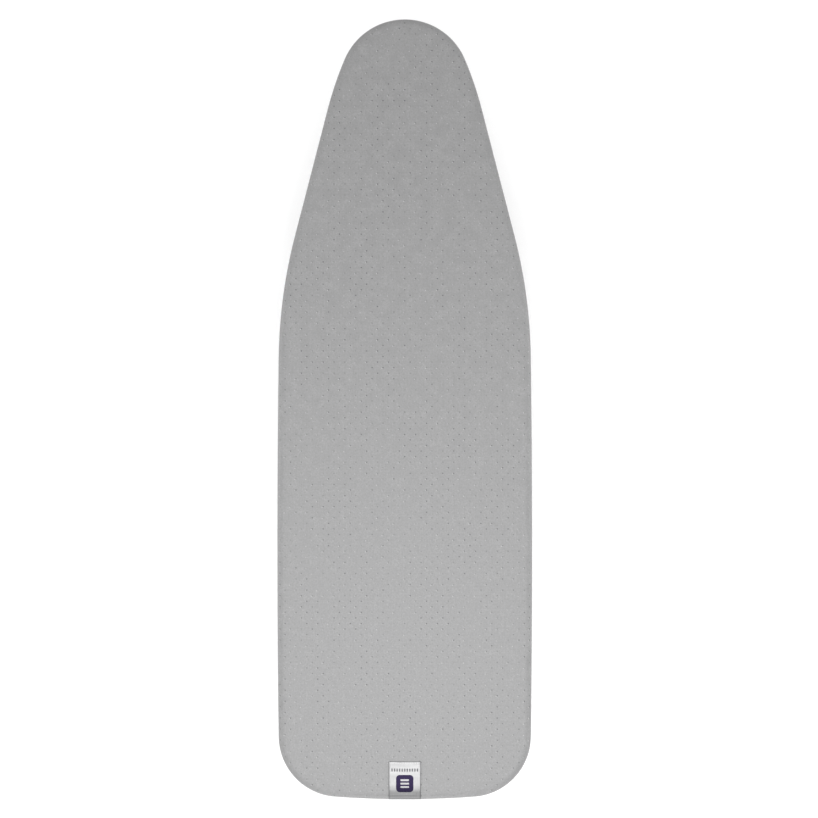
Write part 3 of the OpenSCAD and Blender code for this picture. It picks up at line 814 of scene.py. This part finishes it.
def under_roll(t, gap):
    """(inset, height) that far inside the cover's rolled edge; t runs from the top to the side."""
    inset = ROLL_IN * (1 - math.sin(t))
    z = SURFACE_Z - ROLL_DOWN * (1 - math.cos(t))
    normal = np.array([-ROLL_DOWN * math.sin(t), ROLL_IN * math.cos(t)])
    normal /= np.linalg.norm(normal)
    return inset - gap * normal[0], z - gap * normal[1]


def cover_rings():
    """The skin's rings from the top's edge to the hem, and where each lies in the flat cloth."""
    rows, plans, run, last = [], [], 0.0, None
    for inset, z, share in cover_profile():
        drop = DROP * share**1.4
        ring = EDGE.ring(inset + 0.25 * drop, z - drop)
        if z > SURFACE_Z - SAG_FADE:
            fade = (z - SURFACE_Z + SAG_FADE) / SAG_FADE
            ring[:, 2] -= [fade * top_sag(x, y) for x, y in ring[:, :2]]
        rows.append(ring)
        if last is not None:
            run += math.hypot(inset - last[0], z - last[1])
        last = (inset, z)
        plans.append(EDGE.ring(ROLL_IN - run, 0)[:, :2])
    return np.array(rows), np.array(plans), run - ROLL_IN


def ring_faces(rows, width):
    return [
        (i * width + j, (i + 1) * width + j, (i + 1) * width + (j + 1) % width,
         i * width + (j + 1) % width)
        for i in range(rows - 1)
        for j in range(width)
    ]


def settle(points, faces, pinned):
    """Cloth simulation: slack cloth between the pinned points finds its own folds."""
    mesh = bpy.data.meshes.new("settling")
    mesh.from_pydata(points.tolist(), [], faces)
    cloth_object = add_object("settling", mesh)
    group = cloth_object.vertex_groups.new(name="pins")
    group.add([int(i) for i in pinned], 1.0, "REPLACE")
    cloth = cloth_object.modifiers.new("cloth", "CLOTH")
    for name, value in CLOTH_SETTINGS.items():
        setattr(cloth.settings, name, value)
    cloth.settings.effector_weights.gravity = CLOTH_GRAVITY
    cloth.point_cache.frame_end = CLOTH_FRAMES
    for frame_number in range(1, CLOTH_FRAMES + 1):
        bpy.context.scene.frame_set(frame_number)
    posed = cloth_object.evaluated_get(bpy.context.evaluated_depsgraph_get())
    found = np.empty(len(points) * 3)
    posed.data.vertices.foreach_get("co", found)
    bpy.data.objects.remove(cloth_object)
    bpy.context.scene.frame_set(1)
    return found.reshape(-1, 3)


def settle_lip(rings):
    """The lip under the board, settled between the skirt and the drawn hem."""
    first = LIP_SETTLES_FROM
    part = rings[first:]
    rows, width = part.shape[:2]
    start = part.reshape(-1, 3)
    pinned = list(range(2 * width)) + list(range((rows - 1) * width, rows * width))
    moved = settle(start, ring_faces(rows, width), pinned) - start
    reach = np.linalg.norm(moved, axis=1, keepdims=True)
    moved *= np.minimum(1, LIP_MAX_MOVE / np.maximum(reach, 1e-9))
    found = (start + moved).reshape(part.shape)
    found[:, :, 2] = np.minimum(found[:, :, 2], LIP_Z + CLOTH_T)
    rings[first:] = found


def top_mesh(border, first_index):
    """The flat top inside its border ring: new points and triangles in the cover's numbering."""
    width = len(border)
    spots = [Vector(p[:2]) for p in border]
    for y in np.arange(-LENGTH / 2, LENGTH / 2, TOP_GRID):
        reach = float(EDGE.half_width(y, ROLL_IN + 0.6 * TOP_GRID))
        if reach > 0:
            count = int(reach / TOP_GRID)
            spots += [Vector((k * TOP_GRID, y)) for k in range(-count, count + 1)]
    flat, _, triangles, origin, _, _ = delaunay_2d_cdt(spots, [], [list(range(width))], 1, 1e-7)
    index, points = [], []
    for spot, sources in zip(flat, origin):
        if sources and sources[0] < width:
            index.append(sources[0])
        else:
            index.append(first_index + len(points))
            points.append((spot.x, spot.y, SURFACE_Z - top_sag(spot.x, spot.y)))
    return np.array(points), [tuple(index[i] for i in t) for t in triangles]


def cover():
    """One skin from the middle of the top, over the edge and under to the hem."""
    rings, plans, wrap = cover_rings()
    settle_lip(rings)
    rows, width = rings.shape[:2]
    top, triangles = top_mesh(rings[0], rows * width)
    vertices = np.concatenate([rings.reshape(-1, 3), top])
    plan = np.concatenate([plans.reshape(-1, 2), top[:, :2]])
    faces = ring_faces(rows, width) + triangles
    uvs = [plan[i] for f in faces for i in f]
    build = Build()
    build.add(vertices, faces, uvs)
    piece = build.piece(
        "fitted_cover", COVER, "cover_cloth", replaces=("cover",), outward=True
    )
    solidify(piece, CLOTH_T)


cover()

# ---------- Foam and felt ----------


def rounded_section(z0, z1, inset, round_r):
    """(inset, height) pairs of a rounded edge, from the bottom up."""
    return [
        (inset + round_r * (1 - math.cos(t)), (z0 + z1) / 2 + (z1 - z0) / 2 * math.sin(t))
        for t in np.linspace(-math.pi / 2, math.pi / 2, 9)
    ]


def layer_under_cover(name, node, section, material, slot):
    """A flat layer with that section round its edge, in place of its CAD node."""
    build = Build()
    rows = [EDGE.ring(inset, z) for inset, z in section]
    build.grid(rows, EDGE.along, np.arange(len(rows)) * MM, wrap_along=True)
    for row in (0, len(rows) - 1):
        build.cap(row * EDGE.count, EDGE.count, row > 0)
    return build.piece(name, material, slot, replaces=(node,), outward=True)


foam_low = low("foam_pad").z
foam_section = [(4 * MM, foam_low), (2 * MM, foam_low + 0.1 * MM)]
foam_section += [under_roll(t, CLOTH_T + 0.4 * MM) for t in np.radians(np.linspace(74, 22, 12))]
foam = layer_under_cover("foam_slab", "foam_pad", foam_section, FOAM, "foam")
felt_section = rounded_section(low("felt_underlay").z, high("felt_underlay").z, 3.2 * MM, 0.8 * MM)
felt = layer_under_cover("felt_sheet", "felt_underlay", felt_section, FELT, "felt")

# ---------- Hem, drawcord and label ----------

HEM_Z = middle("hem_binding").z
HEM_IN = 37.4 * MM
HEM_OUT = 29.6 * MM
CORD_INSET = 34 * MM
CORD_R = 1.3 * MM
TAPE_T = 0.6 * MM
STITCH_PITCH = 4.4 * MM
STITCH_LENGTH = 2.8 * MM
# A stitch's thread along its length, from -1 to 1, and how thick it is there
STITCH_SHAPE = ((-1, 0.5), (-0.8, 0.85), (-0.4, 1), (0, 1), (0.4, 1), (0.8, 0.85), (1, 0.5))
KNOT_R = 0.95 * MM
KNOT_FROM_LOCK = 18 * MM
# A cord's end beyond the knot, in mm from the knot's middle
KNOT_TIP = ((0.8, 1.5, 0), (1.8, 5, -0.3), (3.0, 9, -0.2))


def hem_section():
    """(inset, height from the middle) round the tape channel, open towards the lip."""
    loop = [(HEM_OUT, -1.1 * MM), (HEM_OUT + 1.6 * MM, -1.25 * MM), (HEM_OUT + 3.5 * MM, -1.9 * MM)]
    for t in np.radians(np.linspace(-90, 90, 9)):
        loop.append((HEM_IN - 2.4 * MM + 2.4 * MM * math.cos(t), 2.1 * MM * math.sin(t)))
    return loop + [(inset, -z) for inset, z in reversed(loop[:3])]


def hem_ring(inset, z):
    """A ring of the hem, which hangs and shifts with the folds."""
    return EDGE.ring(inset + 0.25 * DROP, z - DROP)


def hem():
    """A folded tape round the cord, gathered with the lip."""
    rows, v, run, last = [], [], 0.0, None
    for inset, z in hem_section():
        rows.append(hem_ring(inset, HEM_Z + 0.1 * MM + z))
        run += 0 if last is None else math.hypot(inset - last[0], z - last[1])
        last = (inset, z)
        v.append(run)
    build = Build()
    build.grid(rows, EDGE.along, v, wrap_along=True)
    piece = build.piece("hem_tape_channel", TAPE, "hem_tape", replaces=("hem_binding",))
    solidify(piece, TAPE_T, 0.0)


def stitches(name, pairs, radius):
    """Sewn stitches, each a short run of thread that dips into the cloth at both ends."""
    build = Build()
    for a, b in np.asarray(pairs):
        path = [(a + b) / 2 + (b - a) / 2 * along for along, _ in STITCH_SHAPE]
        build.tube(path, radius * np.array([share for _, share in STITCH_SHAPE]), sides=6)
    build.piece(name, THREAD_WHITE, "hem_tape")


def hem_stitches():
    line = hem_ring(HEM_OUT + 2.2 * MM, HEM_Z - 1.75 * MM)
    runs = np.arange(0, EDGE.perimeter - STITCH_PITCH, STITCH_PITCH)
    pairs = [(EDGE.at(line, run), EDGE.at(line, run + STITCH_LENGTH)) for run in runs]
    stitches("hem_stitching", pairs, 0.22 * MM)


def drawcord():
    """The cord in the hem, its two tails through the lock, and the knot that joins them."""
    lock = middle("cord_lock_body")
    tail_x = CORD_R + 0.2 * MM
    knot_y = lock.y + KNOT_FROM_LOCK
    exit_y = -LENGTH / 2 + CORD_INSET + 1.2 * MM
    ring = hem_ring(CORD_INSET, HEM_Z)
    keep = [p for p in ring if p[1] >= -LENGTH / 3 or abs(p[0] - lock.x) >= tail_x + 4 * MM]
    gap = next(i for i in range(len(keep)) if np.linalg.norm(keep[i] - keep[i - 1]) > 3 * STEP)
    path = keep[gap:] + keep[:gap]
    sign = 1 if path[0][0] > lock.x else -1
    first = [
        (lock.x + sign * tail_x, knot_y - 2 * MM, HEM_Z),
        (lock.x + sign * tail_x, exit_y + 6 * MM, HEM_Z),
        (lock.x + sign * (tail_x + 0.8 * MM), exit_y + 1 * MM, HEM_Z),
    ]
    last = [(2 * lock.x - x, y, z) for x, y, z in reversed(first)]
    build = Build()
    build.tube(np.vstack([smooth_steps(first, 6), path, smooth_steps(last, 6)]), CORD_R)
    knot = [
        (
            lock.x + KNOT_R * (math.sin(t) + 2 * math.sin(2 * t)),
            knot_y + KNOT_R * (math.cos(t) - 2 * math.cos(2 * t)),
            HEM_Z - 1.0 * MM * math.sin(3 * t),
        )
        for t in full_turn(72)
    ]
    build.tube(knot, CORD_R * 0.95, closed=True)
    for sign in (-1, 1):
        tip = smooth_steps(
            [(lock.x + sign * x * MM, knot_y + y * MM, HEM_Z + z * MM) for x, y, z in KNOT_TIP], 5
        )
        radii = np.full(len(tip), CORD_R)
        radii[-1] *= 0.7
        build.tube(tip, radii)
    build.piece("hem_drawcord", BRAID, "cord_braid", replaces=("drawcord",))


def cord_eyelets():
    """Bound buttonholes where the two tails leave the hem."""
    lock = middle("cord_lock_body")
    build = Build()
    y = -LENGTH / 2 + HEM_IN + 0.25 * MM
    for sign in (-1, 1):
        x = lock.x + sign * (CORD_R + 0.25 * MM)
        ring = [
            (x + 1.75 * MM * math.cos(a), y, HEM_Z + 1.95 * MM * math.sin(a))
            for a in full_turn(20)
        ]
        build.tube(ring, 0.42 * MM, sides=8, closed=True)
    build.piece("cord_buttonholes", THREAD_WHITE, "hem_tape")


LABEL_STEP = 1.5 * MM
LABEL_PROUD = 0.24 * MM
# The label bridges the cover's soft waves, so it follows only part of them
LABEL_FOLLOWS = 0.6
# The tail edge bows outward, so the label's sides sit a little further up the board
EDGE_BOW = 1 / (2 * arcs_of_half()[-1][0])


def label_lift(x, y, z, run):
    """How far the label stands off the cover: puffed up, a little wavy and curled at its sides."""
    side = abs(x) / (LABEL_WIDTH / 2)
    flat_part = min(1.0, max(0.0, (y + LENGTH / 2 - ROLL_IN) / (LABEL_TOP - ROLL_IN)))
    lift = LABEL_PROUD + LABEL_PUFF * math.sin(math.pi * flat_part)
    lift += 0.10 * MM * noise.noise(Vector((x * 90, run * 90, 3.3)))
    lift += 0.22 * MM * side**8 * (0.6 + 0.4 * math.sin(run * 210))
    lift += 0.35 * MM * max(0.0, 1 - run / (2.5 * MM)) * side**3
    if z > SURFACE_Z - 0.5 * MM:
        lift -= LABEL_FOLLOWS * top_sag(x, y)
    return lift


def label():
    """A satin label, folded over the tail edge."""
    tail = -LENGTH / 2
    path = [(y, SURFACE_Z) for y in np.arange(tail + LABEL_TOP, tail + ROLL_IN, -LABEL_STEP)]
    for t in np.linspace(0.05, math.pi / 2, 14):
        inset, z = under_roll(t, 0)
        path.append((tail + inset, z))
    side_top = SURFACE_Z - ROLL_DOWN - LABEL_STEP
    path += [(tail, z) for z in np.arange(side_top, low("cover_label").z, -LABEL_STEP)]
    path = np.array(path)
    steps = np.linalg.norm(np.diff(path, axis=0), axis=1)
    run = np.concatenate([[0.0], np.cumsum(steps)])
    tangents = np.gradient(path, axis=0)
    tangents /= np.linalg.norm(tangents, axis=1)[:, None]
    across = np.linspace(-LABEL_WIDTH / 2, LABEL_WIDTH / 2, 27)
    rows = []
    for (y, z), (ty, tz), s in zip(path, tangents, run):
        lifts = [label_lift(x, y, z, s) for x in across]
        rows.append(
            [(x, y + tz * up + EDGE_BOW * x * x, z - ty * up) for x, up in zip(across, lifts)]
        )
    build = Build()
    build.grid(rows, across, LABEL_TOP - run)
    piece = build.piece(
        "woven_label", LABEL, "label_satin", replaces=("cover_label",), outward=True
    )
    solidify(piece, 0.25 * MM)


def label_stitches():
    y = -LENGTH / 2 + LABEL_TOP - 2 * MM
    pairs = []
    for x in np.arange(-LABEL_WIDTH / 2 + 1.5 * MM, LABEL_WIDTH / 2 - 3 * MM, 3 * MM):
        z = SURFACE_Z + 0.42 * MM - LABEL_FOLLOWS * top_sag(x, y)
        pairs.append(((x, y, z), (x + 2.1 * MM, y, z)))
    stitches("label_stitching", pairs, 0.16 * MM)


hem()
hem_stitches()
drawcord()
cord_eyelets()
label()
label_stitches()

# ---------- Straps ----------


STRAP_T = 1.2 * MM
# The strap's two edges are woven full thickness, and its middle thinner
STRAP_EDGE, STRAP_THIN = 1.6 * MM, 0.82
STRAP_NECK = 0.02


def strap(name, node, sag):
    """A woven elastic strap with thickened edges and a slight sag."""
    (x0, y0, z0), (x1, y1, z1) = low(node), high(node)
    half = (y1 - y0) / 2
    across = np.linspace(-half, half, 19)
    top = [(y, STRAP_T / 2 * (1 if abs(y) > half - STRAP_EDGE else STRAP_THIN)) for y in across]
    loop = top + [(y, -z) for y, z in reversed(top)]
    xs = np.linspace(x0, x1, 90)
    rows = []
    for x in xs:
        t = (x - x0) / (x1 - x0)
        neck = 1 - STRAP_NECK * math.sin(math.pi * t)
        drop = sag * 4 * t * (1 - t)
        rows.append([(x, (y0 + y1) / 2 + y * neck, (z0 + z1) / 2 - drop + z) for y, z in loop])
    build = Build()
    build.grid(rows, np.concatenate([across, across[::-1], across[:1]]), xs, wrap_along=True)
    for end in (0, len(rows) - 1):
        build.cap(end * len(loop), len(loop), end == 0)
    build.uvs = [(b, a) for a, b in build.uvs]
    piece = build.piece(name, ELASTIC, "elastic", replaces=(node,), outward=True)


strap("front_elastic_strap", "front_tension_strap", 0.8 * MM)
strap("rear_elastic_strap", "rear_tension_strap", 1.0 * MM)

# ---------- Expanded-steel deck ----------

CELL_W = 22 * MM
CELL_L = 9 * MM
STRAND = 2.1 * MM
KNUCKLE = 1.26 * MM
MESH_INSET = 7 * MM
BORDER_OUTER, BORDER_INNER = 3 * MM, 15 * MM
BORDER_BREAK = 0.4 * MM
WELD_DISTANCE = 0.02 * MM
PANEL_LOW, PANEL_HIGH = low("deck_panel").z, high("deck_panel").z
PANEL_T = PANEL_HIGH - PANEL_LOW


def diamonds():
    """The places of the whole diamonds, counted in half pitches across and along."""
    places = set()
    for j in range(-int(LENGTH / CELL_L), int(LENGTH / CELL_L) + 1):
        ys = [(j + k) * CELL_L / 2 for k in (-1, 0, 1)]
        reach = min(EDGE.half_width(ys, MESH_INSET))
        most = int(2 * reach / CELL_W) - 1
        places.update((i, j) for i in range(-most, most + 1) if (i + j) % 2 == 0)
    return places


def expanded_deck():
    """Expanded steel: diamond openings between strands that stand tilted, slit and stretched."""
    thick = 0.32 * PANEL_T
    tilt = 0.45 * (PANEL_T - thick)
    middle_z = (PANEL_LOW + PANEL_HIGH) / 2
    half_w, half_l = CELL_W / 2, CELL_L / 2
    hole_x, hole_y = half_w - 1.6 * STRAND, half_l - 0.55 * STRAND
    outer = [(half_w, 0, 0), (0, half_l, 0), (0, half_l, 0)]
    inner = [(hole_x, 0, 0), (KNUCKLE, hole_y, tilt), (-KNUCKLE, hole_y, tilt)]
    outer += [(-x, -y, -z) for x, y, z in outer]
    inner += [(-x, -y, -z) for x, y, z in inner]
    across_edge = {0: (1, 1), 2: (-1, 1), 3: (-1, -1), 5: (1, -1)}
    count = len(outer)
    build = Build()
    places = diamonds()
    for i, j in sorted(places):
        x, y = i * half_w, j * half_l
        points, faces = [], []
        for dz in (thick / 2, -thick / 2):
            points += [(x + a, y + b, middle_z + c + dz) for a, b, c in outer + inner]
        for k in range(count):
            n = (k + 1) % count
            faces.append((k, n, count + n, count + k))
            faces.append((2 * count + k, 3 * count + k, 3 * count + n, 2 * count + n))
            faces.append((count + k, count + n, 3 * count + n, 3 * count + k))
            step = across_edge.get(k)
            if step and (i + step[0], j + step[1]) not in places:
                faces.append((n, k, 2 * count + k, 2 * count + n))
        build.add(points, faces, [(0.0, 0.0)] * sum(len(f) for f in faces))
    deck = build.piece("expanded_deck", DECK_COAT, "coated_steel", replaces=("deck_panel",))
    weld = bmesh.new()
    weld.from_mesh(deck.data)
    bmesh.ops.remove_doubles(weld, verts=weld.verts, dist=WELD_DISTANCE)
    bmesh.ops.recalc_face_normals(weld, faces=weld.faces)
    weld.to_mesh(deck.data)
    weld.free()
    deck.data.set_sharp_from_angle(angle=math.radians(30))


def deck_border():
    """The plain rim of the expanded sheet, with broken inner edges."""
    loop = [
        (BORDER_OUTER, PANEL_HIGH),
        (BORDER_OUTER, PANEL_LOW),
        (BORDER_INNER - BORDER_BREAK, PANEL_LOW),
        (BORDER_INNER, PANEL_LOW + BORDER_BREAK),
        (BORDER_INNER, PANEL_HIGH - BORDER_BREAK),
        (BORDER_INNER - BORDER_BREAK, PANEL_HIGH),
    ]
    rings = [EDGE.ring(i, z) for i, z in loop]
    build = Build()
    build.grid(rings, EDGE.along, np.arange(len(loop) + 1) * MM, wrap_along=True, wrap_across=True)
    piece = build.piece("deck_border", DECK_COAT, "coated_steel", outward=True)
    piece.data.set_sharp_from_angle(angle=math.radians(40))


expanded_deck()
deck_border()

# ---------- Weld beads ----------


BEAD_R, BEAD_HALF = 1.6 * MM, 3.4 * MM
BEAD_LUMPS = 0.18
BEAD_RINGS, BEAD_SIDES = 9, 10


def weld_beads():
    """Small lumpy welds where the rails meet the rim and each other."""
    spots = []
    z = low("front_cross_rail").z + 1.2 * MM
    for rail in ("front_cross_rail", "rear_cross_rail", "tail_cross_rail"):
        for sign in (-1, 1):
            for y in (low(rail).y, high(rail).y):
                inner = float(EDGE.half_width(y, 4.3 * MM))
                spots.append((sign * min(inner, high(rail).x), y, z + 3 * MM))
    for rail, end in (
        ("mid_spine_rail", high),
        ("mid_spine_rail", low),
        ("tail_spine_rail", low),
        ("nose_spine_rail", high),
    ):
        for x in (low(rail).x, high(rail).x):
            spots.append((x, end(rail).y, z + 2 * MM))
    build = Build()
    for number, (x, y, z) in enumerate(spots):
        rows = []
        for i in range(BEAD_RINGS):
            t = math.pi * (i + 0.15) / (BEAD_RINGS - 0.7)
            ring = []
            for a in full_turn(BEAD_SIDES):
                spot = Vector((math.cos(a), math.sin(a), i * 0.8 + number * 3.1))
                r = BEAD_R * math.sin(t) * (1 + BEAD_LUMPS * noise.noise(spot * 1.7))
                height = BEAD_HALF * math.cos(t)
                ring.append((x + r * math.cos(a), y + r * math.sin(a), z + height))
            rows.append(ring)
        build.grid(rows, np.zeros(BEAD_SIDES + 1), np.zeros(BEAD_RINGS), wrap_along=True)
    build.piece("rail_welds", DECK_COAT, "coated_steel", outward=True)


weld_beads()

# ---------- Cord lock spring ----------


SPRING_WIRE_R, SPRING_TURNS = 0.35 * MM, 3.4


def lock_spring():
    """A coil with closed ends that shortens between the lock's floor and its plunger."""
    (x0, y0, z0), (x1, y1, z1) = low("cord_lock_spring"), high("cord_lock_spring")
    radius = (z1 - z0) / 2 - SPRING_WIRE_R
    path = []
    for t in np.linspace(0, 1, 90):
        climb = t * t * (3 - 2 * t)
        a = 2 * math.pi * SPRING_TURNS * t
        x = x0 + SPRING_WIRE_R + (x1 - x0 - 2 * SPRING_WIRE_R) * climb
        y, z = (y0 + y1) / 2 + radius * math.cos(a), (z0 + z1) / 2 + radius * math.sin(a)
        path.append((x, y, z))
    build = Build()
    build.tube(path, SPRING_WIRE_R, sides=8)
    piece = build.piece(
        "lock_coil_spring", WIRE, "zinc_hardware", body=None, replaces=("cord_lock_spring",)
    )
    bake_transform(piece)


lock_spring()

# ---------- CAD parts that stay ----------


# How a CAD node is finished, by the end of its name: material and width of its broken edges
FINISHES = (
    (("deck_rim", "_rail"), DECK_COAT, 0.3 * MM),
    (("_leg_tube",), LEG_COAT, 0),
    (("_bracket",), ZINC, 0.3 * MM),
    (("_rivets", "_washers"), RIVET, 0),
    (("_pivot_rod",), ZINC, 0.4 * MM),
    (("hanging_hook",), WIRE, 0.4 * MM),
    (("_foot",), RUBBER, 1.2 * MM),
    (("_caps", "_plugs", "_clip", "_clips"), PLASTIC, 0.4 * MM),
    (("cord_lock_body", "cord_lock_plunger", "cord_lock_spring"), PLASTIC, 0.4 * MM),
)
SHARP, BEVELLED = math.radians(30), math.radians(40)


def dress(node, material, bevel):
    """A finish, smooth round faces and slightly broken edges for a CAD node."""
    part = nodes[node]
    part.data.materials.clear()
    part.data.materials.append(material)
    part.data.shade_smooth()
    part.data.set_sharp_from_angle(angle=SHARP)
    if bevel:
        edge = part.modifiers.new("broken_edges", "BEVEL")
        edge.width = bevel
        edge.segments = 2
        edge.limit_method = "ANGLE"
        edge.angle_limit = BEVELLED
        edge.harden_normals = True


for name in nodes:
    for endings, material, bevel in FINISHES:
        if name.endswith(endings):
            dress(name, material, bevel)

# ---------- Light and background ----------


# Each softbox: place, the point of the ironing surface it faces, size and power
SOFTBOXES = {
    "tail_softbox": ((0, -0.45, 1.31), (0, -0.45), 0.8, 7.8),
    "left_softbox": ((-1.7, 0.0, 0.7), (0, 0), 1.0, 8),
    "right_softbox": ((1.7, 0.0, 0.7), (0, 0), 1.0, 8),
    "end_softbox": ((0, -2.2, 0.6), (0, -0.4), 1.0, 11),
}


def softbox(name, place, aim, size, power):
    data = bpy.data.lights.new(name, "AREA")
    data.shape = "DISK"
    data.size = size
    data.energy = power
    lamp = add_object(name, data)
    lamp.location = place
    lamp.visible_camera = False
    facing = Vector((*aim, SURFACE_Z)) - Vector(place)
    lamp.rotation_euler = facing.to_track_quat("-Z", "Y").to_euler()


FLOOR_R = 6.0
FLOOR_GLOW = 0.20


def floor():
    """A pale floor, bright enough to look white, that a view from below looks through."""
    paint = Paint("pale_floor", (0.80, 0.80, 0.80), 0.9, Emission_Color=(1, 1, 1, 1))
    paint.shader.inputs["Emission Strength"].default_value = FLOOR_GLOW
    paint.material.cycles.emission_sampling = "NONE"
    behind = paint.node("NewGeometry").outputs["Backfacing"]
    clear = paint.node("BsdfTransparent").outputs[0]
    surface = paint.node("MixShader", behind, paint.shader.outputs[0], clear).outputs[0]
    paint.link(surface, paint.tree.nodes["Material Output"], "Surface")
    work = bmesh.new()
    bmesh.ops.create_circle(work, cap_ends=True, segments=96, radius=FLOOR_R)
    mesh = bpy.data.meshes.new("floor")
    work.to_mesh(mesh)
    work.free()
    mesh.materials.append(paint.material)
    add_object("floor", mesh)


SCREEN_WHITE = 1.04
# Grey of the room by height, from straight down at 0 to straight up at 1
ROOM_TONES = ((0, 0.85), (0.34, 0.75), (0.43, 0.22), (0.50, 0.25), (0.56, 0.85), (1, 1.1))


def studio():
    """The softboxes, in a graded grey room that the camera sees as white."""
    for name, settings in SOFTBOXES.items():
        softbox(name, *settings)
    world = bpy.data.worlds.new("white_surround")
    world.use_nodes = True
    tree = Nodes(world.node_tree)
    screen = tree.node("Background", (1, 1, 1, 1), SCREEN_WHITE)
    direction = tree.node("TexCoord").outputs["Generated"]
    up = tree.node("SeparateXYZ", direction).outputs[2]
    ramp = tree.node("ValToRGB", tree.node("MapRange", up, -1).outputs[0])
    for position, _ in ROOM_TONES[1:-1]:
        ramp.color_ramp.elements.new(position)
    for element, (position, grey) in zip(ramp.color_ramp.elements, ROOM_TONES):
        element.position = position
        element.color = (grey, grey, grey, 1)
    room = tree.node("Background", ramp.outputs[0])
    seen = tree.node("LightPath").outputs["Is Camera Ray"]
    surround = tree.node("MixShader", seen, room.outputs[0], screen.outputs[0]).outputs[0]
    tree.link(surround, world.node_tree.nodes["World Output"], "Surface")
    bpy.context.scene.world = world
    bpy.context.scene.view_settings.view_transform = "Standard"


floor()
studio()
